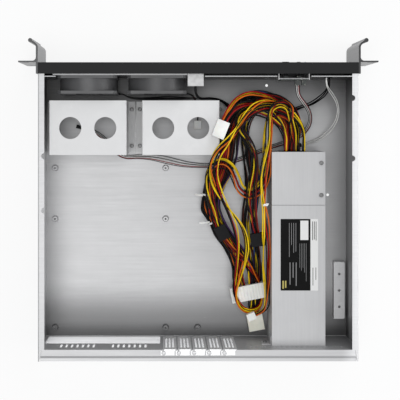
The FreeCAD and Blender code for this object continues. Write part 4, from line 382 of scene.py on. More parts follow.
WIRES = {name: insulation(f"wire_{name}", colour) for name, colour in {
    "yellow": (0.80, 0.55, 0.006), "orange": (0.62, 0.13, 0.006), "red": (0.30, 0.007, 0.006),
    "brown": (0.075, 0.014, 0.007), "black": (0.0035, 0.0035, 0.004),
    "purple": (0.055, 0.02, 0.10), "blue": (0.03, 0.06, 0.16), "white": (0.78, 0.78, 0.76),
}.items()}
# Finishes of single nodes that differ from the rest of their slot.
NODE_FINISHES = {
    "side_rail_bracket": rolled_sheet("rail_sheet", (0.62, 0.62, 0.625), roughness=0.4,
                                      metallic=0.2),
}

slot_of = {s["node"]: s["material_slot"] for s in frame["record"]["subparts"]}
for name, node in frame["nodes"].items():
    finish = NODE_FINISHES.get(name, FINISHES.get(slot_of[name]))
    if finish is not None:
        node.data.materials.clear()
        node.data.materials.append(finish)


# ---------------------------------------------------------------- making of pieces
def new_piece(name, mesh, body, slot, *nodes):
    """A finished piece that rides on a body and may stand for CAD nodes."""
    piece = new_object(name, mesh)
    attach(piece, body)
    if nodes:
        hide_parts(*nodes)
    return piece


def skin(shape, rings, slot=0, smooth=False):
    """Faces from each ring of vertices to the next, and a flat cap on each end."""
    for low, high in zip(rings, rings[1:]):
        for j in range(len(low)):
            k = (j + 1) % len(low)
            face = shape.faces.new((low[j], low[k], high[k], high[j]))
            face.material_index, face.smooth = slot, smooth
    for ring in (list(reversed(rings[0])), rings[-1]):
        shape.faces.new(ring).material_index = slot


def mesh_of(name, shape, materials):
    """The mesh of a finished shape, with its materials."""
    mesh = bpy.data.meshes.new(name)
    shape.to_mesh(mesh)
    shape.free()
    for material in materials:
        mesh.materials.append(material)
    return mesh


# ---------------------------------------------------------------- cables
# The corners of each cable's route, from where it leaves a sheet or a grommet to its far end.
ROUTES = {
    "main_cable_a": [
        (-0.1285, 0.1225, 0.0215), (-0.1285, 0.11, 0.0215), (-0.131, 0.09, 0.0215),
        (-0.126, 0.07, 0.0215), (-0.113, 0.054, 0.0215), (-0.094, 0.047, 0.0215),
        (-0.074, 0.049, 0.0215), (-0.057, 0.058, 0.0215), (-0.045, 0.073, 0.0215),
        (-0.0385, 0.092, 0.0215), (-0.0386, 0.112, 0.0215), (-0.0365, 0.13, 0.0215),
        (-0.028, 0.148, 0.0215), (-0.0145, 0.173, 0.0215), (-0.01, 0.196, 0.0215),
        (-0.0145, 0.212, 0.0215), (-0.0275, 0.236, 0.0215), (-0.041, 0.257, 0.0215),
        (-0.051, 0.278, 0.0225), (-0.0575, 0.2987, 0.026), (-0.0602, 0.3124, 0.026),
    ],
    "main_cable_b": [
        (-0.1385, 0.1225, 0.0305), (-0.1385, 0.11, 0.0305), (-0.14, 0.09, 0.0305),
        (-0.133, 0.07, 0.0305), (-0.118, 0.056, 0.0305), (-0.099, 0.05, 0.0305),
        (-0.08, 0.055, 0.0305), (-0.063, 0.066, 0.0305), (-0.051, 0.083, 0.0305),
        (-0.0435, 0.105, 0.0305), (-0.04, 0.128, 0.0305), (-0.03, 0.15, 0.0305),
        (-0.019, 0.172, 0.0305), (-0.015, 0.194, 0.0305), (-0.021, 0.217, 0.0305),
        (-0.034, 0.238, 0.0305), (-0.05, 0.257, 0.0305), (-0.066, 0.272, 0.0295),
        (-0.077, 0.2888, 0.026), (-0.0808, 0.3084, 0.026),
    ],
    "graphics_cable": [
        (-0.143, 0.1225, 0.0125), (-0.143, 0.108, 0.0125), (-0.138, 0.092, 0.0125),
        (-0.1295, 0.0775, 0.0125), (-0.12, 0.0628, 0.0125), (-0.104, 0.056, 0.0125),
        (-0.087, 0.0599, 0.0125), (-0.0752, 0.0727, 0.0125), (-0.0729, 0.091, 0.0125),
        (-0.078, 0.112, 0.0125), (-0.084, 0.134, 0.0125), (-0.09, 0.158, 0.0125),
        (-0.089, 0.187, 0.0125), (-0.083, 0.216, 0.0125), (-0.076, 0.244, 0.0125),
        (-0.073, 0.273, 0.0125), (-0.073, 0.301, 0.0125), (-0.077, 0.329, 0.0125),
        (-0.0816, 0.354, 0.0125),
    ],
    "processor_cable": [
        (-0.13, 0.1225, 0.041), (-0.13, 0.108, 0.041), (-0.131, 0.088, 0.041),
        (-0.123, 0.07, 0.0406), (-0.109, 0.0565, 0.0443), (-0.089, 0.0475, 0.0525),
        (-0.069, 0.0455, 0.061), (-0.052, 0.052, 0.069), (-0.041, 0.0665, 0.0748),
        (-0.0352, 0.0808, 0.075),
    ],
    "drive_cable_a": [
        (-0.122, 0.1225, 0.0529), (-0.122, 0.11, 0.0529), (-0.12, 0.092, 0.0529),
        (-0.109, 0.076, 0.0529), (-0.093, 0.065, 0.0529), (-0.075, 0.061, 0.0529),
        (-0.06, 0.067, 0.0529), (-0.053, 0.081, 0.0529), (-0.058, 0.096, 0.0529),
        (-0.07, 0.108, 0.0529), (-0.08, 0.124, 0.0529), (-0.083, 0.146, 0.0529),
        (-0.08, 0.169, 0.0529), (-0.078, 0.192, 0.0529), (-0.079, 0.214, 0.0529),
        (-0.082, 0.235, 0.052),
    ],
    "drive_cable_b": [
        (-0.146, 0.1225, 0.0529), (-0.146, 0.11, 0.0529), (-0.145, 0.091, 0.0578),
        (-0.134, 0.074, 0.0583), (-0.118, 0.062, 0.0583), (-0.098, 0.055, 0.06),
        (-0.079, 0.059, 0.066), (-0.063, 0.071, 0.072), (-0.052, 0.089, 0.0764),
        (-0.0395, 0.108, 0.077), (-0.024, 0.122, 0.077), (-0.015, 0.141, 0.076),
        (-0.016, 0.164, 0.072), (-0.026, 0.186, 0.0675), (-0.041, 0.206, 0.0635),
        (-0.054, 0.226, 0.06), (-0.061, 0.249, 0.056), (-0.061, 0.274, 0.052),
        (-0.056, 0.298, 0.047), (-0.052, 0.318, 0.042), (-0.055, 0.334, 0.0375),
        (-0.0635, 0.345, 0.0315), (-0.075, 0.349, 0.0255), (-0.086, 0.3455, 0.02),
        (-0.0923, 0.337, 0.016), (-0.0933, 0.326, 0.0142),
    ],
    "sata_cable": [
        (-0.138, 0.1225, 0.0472), (-0.138, 0.11, 0.0472), (-0.137, 0.091, 0.0472),
        (-0.128, 0.075, 0.0472), (-0.113, 0.066, 0.0472), (-0.098, 0.073, 0.0472),
        (-0.092, 0.091, 0.0472), (-0.093, 0.115, 0.0472), (-0.097, 0.139, 0.0472),
        (-0.0955, 0.158, 0.0472), (-0.0885, 0.175, 0.0472), (-0.073, 0.1845, 0.0472),
        (-0.058, 0.176, 0.0472), (-0.0545, 0.158, 0.0472), (-0.048, 0.143, 0.0472),
        (-0.036, 0.135, 0.0472), (-0.023, 0.138, 0.0472), (-0.015, 0.151, 0.0472),
        (-0.013, 0.17, 0.0472), (-0.015, 0.19, 0.0472), (-0.022, 0.21, 0.0472),
        (-0.03, 0.226, 0.0472),
    ],
    "accessory_cable": [
        (-0.134, 0.1225, 0.0529), (-0.134, 0.114, 0.0529), (-0.1325, 0.101, 0.0575),
        (-0.129, 0.086, 0.0625), (-0.1265, 0.072, 0.0637), (-0.124, 0.0634, 0.0637),
        (-0.1175, 0.0586, 0.0637), (-0.1095, 0.0586, 0.0637), (-0.103, 0.0634, 0.0637),
        (-0.1005, 0.072, 0.0637), (-0.0995, 0.087, 0.0637), (-0.099, 0.109, 0.0637),
        (-0.095, 0.133, 0.0637), (-0.09, 0.158, 0.0637), (-0.089, 0.183, 0.0637),
        (-0.092, 0.208, 0.0637), (-0.096, 0.234, 0.0605), (-0.0985, 0.258, 0.053),
        (-0.0986, 0.281, 0.045), (-0.0982, 0.302, 0.0415), (-0.0986, 0.32, 0.0385),
        (-0.0973, 0.335, 0.0386), (-0.0915, 0.3455, 0.0392), (-0.081, 0.35, 0.039),
    ],
    "usb_cable": [
        (0.0032, 0.0337, 0.07), (0.0032, 0.0405, 0.07), (0.0011, 0.0464, 0.0672),
        (-0.0026, 0.0498, 0.0623), (-0.0072, 0.0502, 0.0556), (-0.0145, 0.0492, 0.0464),
        (-0.0225, 0.0493, 0.0368), (-0.031, 0.0504, 0.027), (-0.0395, 0.055, 0.018),
        (-0.0465, 0.0625, 0.012), (-0.053, 0.0715, 0.009), (-0.0585, 0.0805, 0.0075),
    ],
    "fan_lead_left": [
        (0.1095, 0.0426, 0.022), (0.1036, 0.0426, 0.022), (0.0975, 0.0464, 0.0211),
        (0.088, 0.0486, 0.0202), (0.069, 0.0492, 0.0183), (0.048, 0.0485, 0.0172),
        (0.027, 0.0494, 0.0158), (0.006, 0.0485, 0.015), (-0.014, 0.0488, 0.0133),
        (-0.031, 0.0502, 0.0105), (-0.043, 0.056, 0.008), (-0.054, 0.064, 0.006),
    ],
    "fan_lead_right": [
        (0.0155, 0.042, 0.014), (0.01, 0.042, 0.014), (0.0045, 0.045, 0.012),
        (0.001, 0.052, 0.0098), (-0.001, 0.061, 0.008), (-0.002, 0.071, 0.0068),
        (-0.002, 0.08, 0.0065),
    ],
    "panel_cable": [
        (-0.181, 0.0215, 0.054), (-0.181, 0.031, 0.054), (-0.1775, 0.041, 0.0488),
        (-0.169, 0.049, 0.038), (-0.159, 0.056, 0.026), (-0.148, 0.06, 0.015),
        (-0.137, 0.065, 0.0075), (-0.124, 0.072, 0.0048), (-0.112, 0.079, 0.0045),
    ],
    "led_lead": [
        (-0.175, 0.0215, 0.066), (-0.175, 0.03, 0.066), (-0.1785, 0.0375, 0.0623),
        (-0.186, 0.0455, 0.0545), (-0.1935, 0.0555, 0.0455), (-0.197, 0.069, 0.035),
        (-0.1945, 0.084, 0.024), (-0.185, 0.097, 0.0145), (-0.172, 0.107, 0.008),
        (-0.159, 0.1125, 0.0052), (-0.15, 0.1145, 0.0047),
    ],
    "signal_leads": [
        (-0.134, 0.0324, 0.076), (-0.134, 0.041, 0.076), (-0.1365, 0.0475, 0.072),
        (-0.143, 0.0545, 0.0625), (-0.151, 0.0625, 0.05), (-0.157, 0.072, 0.038),
        (-0.159, 0.085, 0.021), (-0.153, 0.097, 0.0085), (-0.141, 0.106, 0.005),
        (-0.122, 0.112, 0.0055), (-0.1, 0.119, 0.0055), (-0.076, 0.129, 0.0055),
        (-0.052, 0.138, 0.0055), (-0.028, 0.143, 0.0055), (-0.004, 0.1435, 0.0055),
        (0.02, 0.1405, 0.0055), (0.043, 0.1345, 0.0055), (0.064, 0.131, 0.0055),
        (0.084, 0.1306, 0.0055), (0.101, 0.132, 0.0055), (0.113, 0.1255, 0.0055),
        (0.123, 0.1135, 0.0055), (0.134, 0.102, 0.0055), (0.147, 0.094, 0.0055),
        (0.163, 0.09, 0.0055),
    ],
}
# Half widths in mm of the fan of signal leads, at each corner of their route.
FAN = [2.6] * 14 + [3, 4.5, 5.5, 4] + [2.6] * 7

# Each cable: the diameters of a strand and of its wires, then its strands. A strand is the colours
# of its wires, how far it rises above the route, and its shift to the side at each corner, in mm.
STRANDS = {
    "main_cable_a": (0.0064, 0.0021, [
        ("black black black blue black purple black black", 0,
         [1.5, 1.5, 2, 3, 4, 5, 5, 4, 2, 0, 0, 0, 1, 1.5, 1.5, 1.5, 1.5, 2, 2, 4, 7]),
        ("black orange black brown black red black black", 2,
         [0, 0, -1, -2, -4, -6, -6, -5, -4, -4, -5, -6, -4, -2, -2, -2, -2, -4, -3, -1, 1]),
        ("yellow black red black orange black purple red", 6,
         [-1.5, -1.5, -3, -6, -10, -12, -12, -11, -10, -9, -10, -12, -14, -15, -15, -13, -11, -10,
          -7, -4, -5]),
    ]),
    "main_cable_b": (0.0064, 0.0021, [
        ("red black brown black yellow black black", 0,
         [1.5, 1.5, 1, 0, -1, -2, -3, -4, -5, -6, -8, -10, -11, -11, -10, -8, -5, -2, 2, 6]),
        ("black brown black yellow black purple black", 4,
         [0, 0, -2, -5, -8, -9, -9, -9, -9, -10, -12, -14, -15.5, -15.5, -14.5, -12, -9, -5, -2,
          0]),
        ("red black orange red black red black", 9,
         [-1.5, -1.5, 2, 4, 5, 4, 3, 2, 3, 2, 0, -4, -6, -5, -3, 0, 3, 2, -1, -6]),
    ]),
    "graphics_cable": (0.0064, 0.0021, [
        ("black yellow black brown black black", 0,
         [1.5, 1.5, 2, 3, 3, 3, 4, 5, 7, 10, 14, 15.5, 15.5, 14, 6, -4, -5, -2, 5]),
        ("black purple black yellow black brown black", 3,
         [0, 0, 0, -1, -2, -3, -2, 0, 3, 5, 8, 9, 9, 6, -2, -10, -11, -6, 0]),
        ("black brown black yellow black blue", 7,
         [-1.5, -1.5, 3, 6, 8, 9, 8, 7, 8, 6, 4, 2, 1, -1, -8, -14, -15, -9, -5]),
    ]),
    "processor_cable": (0.0056, 0.0021, [
        ("yellow red black brown orange black", 0, [2, 2, 3, 4, 5, 5, 5, 3, 2, 2.5]),
        ("red black yellow black red black", 0, [-2, -2, -2, -5, -8, -10, -10, -8, -4, -2.5]),
    ]),
    "drive_cable_a": (0.0044, 0.002, [
        ("yellow black black red black", 0, [0.8, 0.8, 1, 2, 2, 2, 2, 1, 1, 2, 4, 6, 8, 9, 6, 2]),
        ("brown red black yellow black", 4,
         [-0.8, -0.8, -3, -5, -7, -7, -6, -5, -3, -2, -1, 0, 0, 0, 0, -2]),
    ]),
    "drive_cable_b": (0.0038, 0.0019, [
        ("yellow black orange yellow", 0,
         [1, 1, 1, 0, 0, 1, 1, 0, -1, 0, 0, 0, -2, -4, -7, -8, -7, -5, -3, -1, 0, 0, 0, 0, 0, 0.5]),
        ("red black yellow black", 0,
         [-1, -1, -2, -4, -6, -7, -7, -6, -4, -3, -6, -9, -9, -8, -3, 2, 5, 6, 3, 0, -3, -3, -2,
          -1, -1, -1]),
    ]),
    "sata_cable": (0.0038, 0.0019, [
        ("yellow black yellow black", 0,
         [1, 1, 2, 2, 2, 1, 0, 1, 2, 4, 6, 7, 5, 2, 1, 1, 0, 0, 0, -1, -1, 1]),
        ("black red orange black", 5,
         [-1, -1, -3, -4, -5, -6, -7, -6, -4, -2, -2, -2, -2, -4, -6, -7, -7, -6, -6, -6, -4, -1]),
    ]),
    "accessory_cable": (0.0034, 0.0018, [
        ("yellow black yellow", 0,
         [0.8, 0.8, 1, 1, 0, 0, 0, 0, 1, 2, 3, 4, 5, 4, 2, 1, 4, 6, 5, 3, 1, 0, 0.5, 0.5]),
        ("red black orange", 0,
         [-0.8, -0.8, -2, -2, 2, 4, 4, 3, 2, 1, 0, 0, 0, -1, -1, -1, 0, 0, 0, -1, -1, -1, -1, -1]),
    ]),
    "usb_cable": (0.0035, 0.0035, [("black", 0, None)]),
    "fan_lead_left": (0.0025, 0.0014, [("black black black black", 0, None)]),
    "fan_lead_right": (0.0025, 0.0012, [("black black red", 0, None)]),
    "panel_cable": (0.004, 0.0018, [("black black black", 0, None)]),
    "led_lead": (0.0024, 0.0012, [("white white white", 0, None)]),
    "signal_leads": (0.0009, 0.0009, [
        (colour, rise, [width * share for width in FAN])
        for colour, rise, share in (("black", 0, 0.7), ("white", 0.6, 0.32), ("black", 0, -0.06),
                                    ("white", 0.6, -0.44), ("red", 0, -0.82), ("black", 0.6, -1.2))
    ]),
}
# Middles of the ties that gather a strand's wires.
OUTER_TIES = [at(-0.0136, 0.1850, 0.0215), at(-0.0222, 0.2232, 0.0215)]
TIES = {
    "main_cable_a_strand_1": OUTER_TIES,
    "main_cable_a_strand_2": OUTER_TIES,
    "accessory_cable_strand_2": [at(-0.0918, 0.1951, 0.0637)],
}
# Solid pieces that the strands lie on or against, as low and high corners: a drive bracket and its
# foot, the supply, and the inner front wall.
SOLIDS = [
    (at(-0.0294, 0.0529, 0), at(0.0758, 0.1269, 0.0700)),
    (at(-0.0390, 0.0529, 0), at(-0.0294, 0.1269, 0.0022)),
    (at(-0.1745, 0.1230, 0), at(-0.1015, 0.3866, 0.0620)),
    (at(-0.2140, 0.0192, 0), at(0.2140, 0.0212, 0.0868)),
]
FLOOR_TOP = 0.001
# A strand rises to its height over this many corners, and its wires keep their places over this
# many points at each end, where a plug or a grommet holds them.
RISING_CORNERS, HELD_POINTS = 3, 4
# Wires are gathered at a cable's start, end and ties, and free from these distances onwards.
FREE_FROM_START, FREE_FROM_END, FREE_FROM_TIE = 0.03, 0.025, 0.022
# The widest that a loose bundle may be about its line: a share of its diameter, and an allowance.
SPREAD_SHARE, SPREAD_ALLOWANCE = 0.65, 0.002 - 0.0002
# How a bundle's wires are set round its line, how they turn about it, and how far out they lie.
# Ranges are for random draws: radians per metre for twists and pitches, and radians for the rest.
GOLDEN_TURN, START_JITTER, TWISTS, TWIST_WAYS = 0.618, (-0.2, 0.2), (6, 24), (1, 1, 1, -1)
WANDER_PITCHES, WANDER_SIZES, SWELL_PITCHES, PHASES = (15, 60), (0.2, 0.7), (20, 70), (0, 6.28)
MEAN_LOOSENESS, SWELL_SIZE = 1.22, 0.36
WIRE_SIDES = 7


def strand_route(corners, rise, shifts):
    """The corners of one strand, which lies beside its cable's route."""
    last = len(corners) - 1
    route = []
    for i, corner in enumerate(corners):
        side = (corners[min(i + 1, last)] - corners[max(i - 1, 0)]).cross(UP).normalized()
        lift = rise * min(1, i / RISING_CORNERS, (last - i) / RISING_CORNERS)
        route.append(corner + side * shifts[i] / MM_PER_M + UP * lift / MM_PER_M)
    return route


def smooth_path(name, corners):
    """Points along the smooth line of a cable or strand, read from its spline."""
    curve = bpy.data.curves.new(f"{name}_line", "CURVE")
    curve.dimensions = "3D"
    spline = curve.splines.new("NURBS")
    spline.points.add(len(corners) - 1)
    for point, corner in zip(spline.points, corners):
        point.co = (*corner, 1)
    spline.order_u, spline.resolution_u = 3, 8
    spline.use_endpoint_u = True
    line = new_object(f"{name}_line", curve)
    mesh = real_mesh(line)
    points = [v.co.copy() for v in mesh.vertices]
    bpy.data.objects.remove(line)
    bpy.data.curves.remove(curve)
    bpy.data.meshes.remove(mesh)
    return points


def carried_axes(points):
    """Tangent, side and up at each point, carried along so that they don't spin."""
    axes = []
    side = None
    for i in range(len(points)):
        ahead, behind = points[min(i + 1, len(points) - 1)], points[max(i - 1, 0)]
        tangent = (ahead - behind).normalized()
        if side is None:
            side = tangent.cross(UP).normalized()
        side = (side - tangent * side.dot(tangent)).normalized()
        axes.append((tangent, side, tangent.cross(side)))
    return axes


def kept_clear(place, radius):
    """The nearest place at which a wire of this radius is clear of the floor and solid pieces."""
    place = place.copy()
    place.z = max(place.z, FLOOR_TOP + radius)
    for low, high in SOLIDS:
        depths = []
        for axis in range(3):
            depths.append((place[axis] - low[axis] + radius, axis, -1))
            depths.append((high[axis] - place[axis] + radius, axis, 1))
        depth, axis, side = min(depths, key=lambda d: d[0])
        downwards = (axis, side) == (2, -1)
        if depth > 0 and not downwards:
            place[axis] += side * depth
    return place


def wire_offsets(count, diameter, wire, seed, distances, tied):
    """For each wire, its offset across the bundle at every distance along it."""
    if count == 1:
        return [[(0.0, 0.0)] * len(distances)]
    chance = random.Random(seed)
    widest = SPREAD_SHARE * diameter + SPREAD_ALLOWANCE - wire / 2
    snug = (diameter - wire) / 2
    total = distances[-1]
    offsets = []
    for k in range(count):
        start = 2 * math.pi * (k * GOLDEN_TURN % 1) + chance.uniform(*START_JITTER)
        depth = math.sqrt((k + 0.5) / count)
        twist = chance.uniform(*TWISTS) * chance.choice(TWIST_WAYS)
        waves = [(chance.uniform(*WANDER_PITCHES), chance.uniform(*PHASES),
                  chance.uniform(*WANDER_SIZES)) for _ in range(3)]
        swells = [(chance.uniform(*SWELL_PITCHES), chance.uniform(*PHASES)) for _ in range(2)]
        rows = []
        for s in distances:
            free = min([1.0, s / FREE_FROM_START, (total - s) / FREE_FROM_END]
                       + [abs(s - tie) / FREE_FROM_TIE for tie in tied])
            free = free * free * (3 - 2 * free)
            wander = sum(size * math.sin(pitch * s + phase) for pitch, phase, size in waves)
            angle = start + twist * s + free * wander
            swell = sum(math.sin(pitch * s + phase) for pitch, phase in swells)
            loose = depth * (MEAN_LOOSENESS + SWELL_SIZE * swell)
            radius = snug * depth + free * (widest - snug) * max(0.0, min(1.0, loose))
            rows.append((radius * math.cos(angle), radius * math.sin(angle)))
        offsets.append(rows)
    return offsets


def bundle_mesh(name, points, diameter, wire, colours, beside_route):
    """A strand's wires as closed tubes in one mesh, one material a colour, and its length."""
    axes = carried_axes(points)
    distances = [0.0]
    for a, b in zip(points, points[1:]):
        distances.append(distances[-1] + (b - a).length)
    tied = [min(zip(distances, points), key=lambda row: (row[1] - tie).length)[0]
            for tie in TIES.get(name, [])]
    names = sorted(set(colours))
    turns = [2 * math.pi * j / WIRE_SIDES for j in range(WIRE_SIDES)]
    shape = bmesh.new()
    for k, rows in enumerate(wire_offsets(len(colours), diameter, wire, name, distances, tied)):
        centres = [p + side * u + up * v for p, (_, side, up), (u, v) in zip(points, axes, rows)]
        if beside_route:
            loose = range(HELD_POINTS, len(centres) - HELD_POINTS)
            centres = [kept_clear(c, wire / 2) if i in loose else c for i, c in enumerate(centres)]
        rings = []
        for centre, (_, side, up) in zip(centres, carried_axes(centres)):
            rings.append([
                shape.verts.new(centre + (side * math.cos(t) + up * math.sin(t)) * wire / 2)
                for t in turns])
        skin(shape, rings, slot=names.index(colours[k]), smooth=True)
    bmesh.ops.recalc_face_normals(shape, faces=shape.faces)
    return mesh_of(name, shape, [WIRES[colour] for colour in names]), distances[-1]


def make_cable(name):
    corners = [at(*c) for c in ROUTES[name]]
    diameter, wire, strands = STRANDS[name]
    beside_route = len(strands) > 1
    for number, (colours, rise, shifts) in enumerate(strands, start=1):
        if beside_route:
            label, route = f"{name}_strand_{number}", strand_route(corners, rise, shifts)
        else:
            label, route = f"{name}_wires", corners
        points = smooth_path(label, route)
        mesh, length = bundle_mesh(label, points, diameter, wire, colours.split(), beside_route)
        piece = new_piece(label, mesh, "case", slot_of[name], name)


for cable in ROUTES:
    make_cable(cable)


# ---------------------------------------------------------------- repeated pieces
class Growth:
    """A small Geometry Nodes tree that repeats one shape along a row and gives it a material."""

    def __init__(self, name, **inputs):
        self.tree = bpy.data.node_groups.new(name, "GeometryNodeTree")
        self.inputs = {}
        kinds = {int: "NodeSocketInt", float: "NodeSocketFloat", Vector: "NodeSocketVector"}
        for key, value in inputs.items():
            socket = self.tree.interface.new_socket(key, in_out="INPUT",
                                                    socket_type=kinds[type(value)])
            self.inputs[socket.identifier] = value
        self.tree.interface.new_socket("Mesh", in_out="OUTPUT", socket_type="NodeSocketGeometry")
        self.given = self.tree.nodes.new("NodeGroupInput").outputs

    def node(self, kind, settings=None, sockets=None):
        return add_node(self.tree, kind, settings, sockets)

    def row_of(self, instance, more=None):
        """The shape repeated from Start on, Count times, a Step apart."""
        row = self.node("GeometryNodeMeshLine", {"mode": "OFFSET"}, {
            "Count": self.given["Count"], "Start Location": self.given["Start"],
            "Offset": self.given["Step"]})
        placed = self.node("GeometryNodeInstanceOnPoints", None, {
            "Points": row.outputs[0], "Instance": instance.outputs[0], **(more or {})})
        return placed.outputs[0]

    def grown(self, shape, material):
        """The finished mesh, with every repeat made real."""
        real = self.node("GeometryNodeRealizeInstances", None, {0: shape})
        dressed = self.node("GeometryNodeSetMaterial", None, {
            "Geometry": real.outputs[0], "Material": material})
        self.node("NodeGroupOutput", None, {0: dressed.outputs[0]})
        host = new_object(self.tree.name, bpy.data.meshes.new(self.tree.name))
        modifier = host.modifiers.new("growth", "NODES")
        modifier.node_group = self.tree
        for identifier, value in self.inputs.items():
            modifier[identifier] = tuple(value) if isinstance(value, Vector) else value
        mesh = real_mesh(host)
        bpy.data.objects.remove(host)
        return mesh


def printed_rows(name, start, step, count, size, shortest, seed, material):
    """Plain printed bars, each beginning on one line and ending at its own length."""
    g = Growth(name, Start=start, Step=step, Count=count, Size=size, Shortest=shortest, Seed=seed)
    bar = g.node("GeometryNodeMeshCube", None, {"Size": g.given["Size"]})
    half = g.node("ShaderNodeVectorMath", {"operation": "MULTIPLY"}, {
        0: g.given["Size"], 1: (0, 0.5, 0)})
    begun = g.node("GeometryNodeTransform", None, {
        "Geometry": bar.outputs[0], "Translation": half.outputs[0]})
    least = g.node("ShaderNodeCombineXYZ", None, {"X": 1.0, "Y": g.given["Shortest"], "Z": 1.0})
    lengths = g.node("FunctionNodeRandomValue", {"data_type": "FLOAT_VECTOR"}, {
        0: least.outputs[0], 1: (1, 1, 1), "Seed": g.given["Seed"]})
    return g.grown(g.row_of(begun, {"Scale": lengths.outputs[0]}), material)


def round_ribs(name, start, step, count, along, radius, material):
    """Half-sunk round ribs side by side, each lying along one direction."""
    g = Growth(name, Start=start, Step=step, Count=count, Along=along, Radius=radius)
    line = g.node("GeometryNodeCurvePrimitiveLine", None, {
        "Start": (0, 0, 0), "End": g.given["Along"]})
    ring = g.node("GeometryNodeCurvePrimitiveCircle", None, {
        "Resolution": 12, "Radius": g.given["Radius"]})
    rib = g.node("GeometryNodeCurveToMesh", None, {
        "Curve": line.outputs[0], "Profile Curve": ring.outputs[0], "Fill Caps": True})
    return g.grown(g.row_of(rib), material)


def joined(name, *meshes):
    """One mesh from several, keeping their materials and with normals turned outwards."""
    shape = bmesh.new()
    materials = []
    for mesh in meshes:
        first = len(shape.faces)
        shape.from_mesh(mesh)
        shape.faces.ensure_lookup_table()
        materials += [m for m in mesh.materials if m not in materials]
        slots = [materials.index(m) for m in mesh.materials]
        for face in shape.faces[first:]:
            face.material_index = slots[face.material_index]
    bmesh.ops.recalc_face_normals(shape, faces=shape.faces)
    return mesh_of(name, shape, materials)


# ---------------------------------------------------------------- supply rating label
# The ink's middle height and depth, the steps of a field's round corners, and the share of a
# field's height over which its top edge is eased.
INK_Z, INK_DEPTH = 0.06216, 0.00006
CORNER_STEPS, EASED_SHARE = 5, 0.4


def rounded_plate(name, low, high, radius, material):
    """A flat plate with rounded corners and an eased top edge, between a low and a high corner."""
    middle_x, middle_y = (low.x + high.x) / 2, (low.y + high.y) / 2
    outline = []
    for quarter, (sign_x, sign_y) in enumerate(((1, 1), (-1, 1), (-1, -1), (1, -1))):
        x = (high.x if sign_x > 0 else low.x) - sign_x * radius
        y = (high.y if sign_y > 0 else low.y) - sign_y * radius
        for i in range(CORNER_STEPS + 1):
            turn = math.pi / 2 * (quarter + i / CORNER_STEPS)
            outline.append((x + radius * math.cos(turn), y + radius * math.sin(turn)))
    edge = (high.z - low.z) * EASED_SHARE
    shape = bmesh.new()
    rings = []
    for inset, z in ((0, low.z), (0, high.z - edge), (edge, high.z)):
        rings.append([shape.verts.new((x - math.copysign(inset, x - middle_x),
                                       y - math.copysign(inset, y - middle_y), z))
                      for x, y in outline])
    skin(shape, rings)
    return mesh_of(name, shape, [material])


def label_rows(name, first_x, pitch, count, low_y, length, width, shortest, seed, material):
    return printed_rows(name, at(first_x, low_y, INK_Z), Vector((pitch, 0, 0)), count,
                        Vector((width, length, INK_DEPTH)), shortest, seed, material)


film_black = printed_film("label_black_film", (0.003, 0.003, 0.003), roughness=0.6, specular=0.1)
film_white = printed_film("label_white_film", (0.72, 0.72, 0.71))
ink_grey = printed_film("label_grey_ink", (0.20, 0.20, 0.20))
ink_amber = printed_film("label_amber_ink", (0.42, 0.36, 0.10))
ink_dark = printed_film("label_dark_ink", (0.03, 0.03, 0.03))

# Fields of the label: low corner, high corner, corner radius and film.
LABEL_FIELDS = {
    "black_field": (at(-0.1540, 0.2146, 0.06202), at(-0.1133, 0.3124, 0.06215), 0.0009, film_black),
    "white_strip": (at(-0.1646, 0.2146, 0.06202), at(-0.1545, 0.3124, 0.06215), 0.0009, film_white),
    "white_panel": (at(-0.1513, 0.2168, 0.06212), at(-0.1403, 0.2433, 0.0622), 0.0004, film_white),
}
# Rows of bars: first x, pitch, count, low y, length, width, shortest share, seed and ink.
LABEL_ROWS = {
    "upper_rows": (-0.1252, -0.0030, 4, 0.2200, 0.0480, 0.0007, 0.6, 4, ink_grey),
    "middle_rows": (-0.1262, -0.0042, 3, 0.2740, 0.0330, 0.0012, 0.6, 8, ink_grey),
    "lower_rows": (-0.1395, -0.0022, 5, 0.2480, 0.0560, 0.0005, 0.4, 15, ink_grey),
    "amber_rows": (-0.1168, -0.0034, 2, 0.2990, 0.0110, 0.0020, 0.7, 16, ink_amber),
    "dark_rows": (-0.1570, -0.0024, 3, 0.2180, 0.0260, 0.0009, 0.9, 23, ink_dark),
    "strip_rows": (-0.1575, -0.0040, 2, 0.2810, 0.0270, 0.0008, 0.5, 42, ink_dark),
}
label = joined("supply_label",
               *[rounded_plate(name, *field) for name, field in LABEL_FIELDS.items()],
               *[label_rows(name, *row) for name, row in LABEL_ROWS.items()])
new_piece("supply_label", label, "case", "white_nylon")


# ---------------------------------------------------------------- ribs of the main connector
# Directions across and along the plug, which lies askew, and the middle of its top.
across, onward = Vector((-0.9817, -0.1906, 0)), Vector((-0.1906, 0.9817, 0))
plug_middle = at(-0.0725, 0.3207, 0.0330)
RIBS, RIB_PITCH, RIB_LENGTH, RIB_RADIUS = 12, 0.0042, 0.0190, 0.0005
ribs = round_ribs("connector_ribs",
                  plug_middle - across * (RIB_PITCH * (RIBS - 1) / 2) - onward * (RIB_LENGTH / 2),
                  across * RIB_PITCH, RIBS, onward * RIB_LENGTH, RIB_RADIUS,
                  FINISHES["white_nylon"])
ribs.shade_smooth()
new_piece("main_connector_ribs", ribs, "case", "white_nylon")


# ---------------------------------------------------------------- tails of the cable ties
TAIL_WIDTH, TAIL_THICKNESS, TAIL_DROOP, TAIL_STEPS = 0.0026, 0.0011, 0.004, 14
TAPER_FROM, TAPER_RATE, NOTCH = 0.8, 3, 0.8


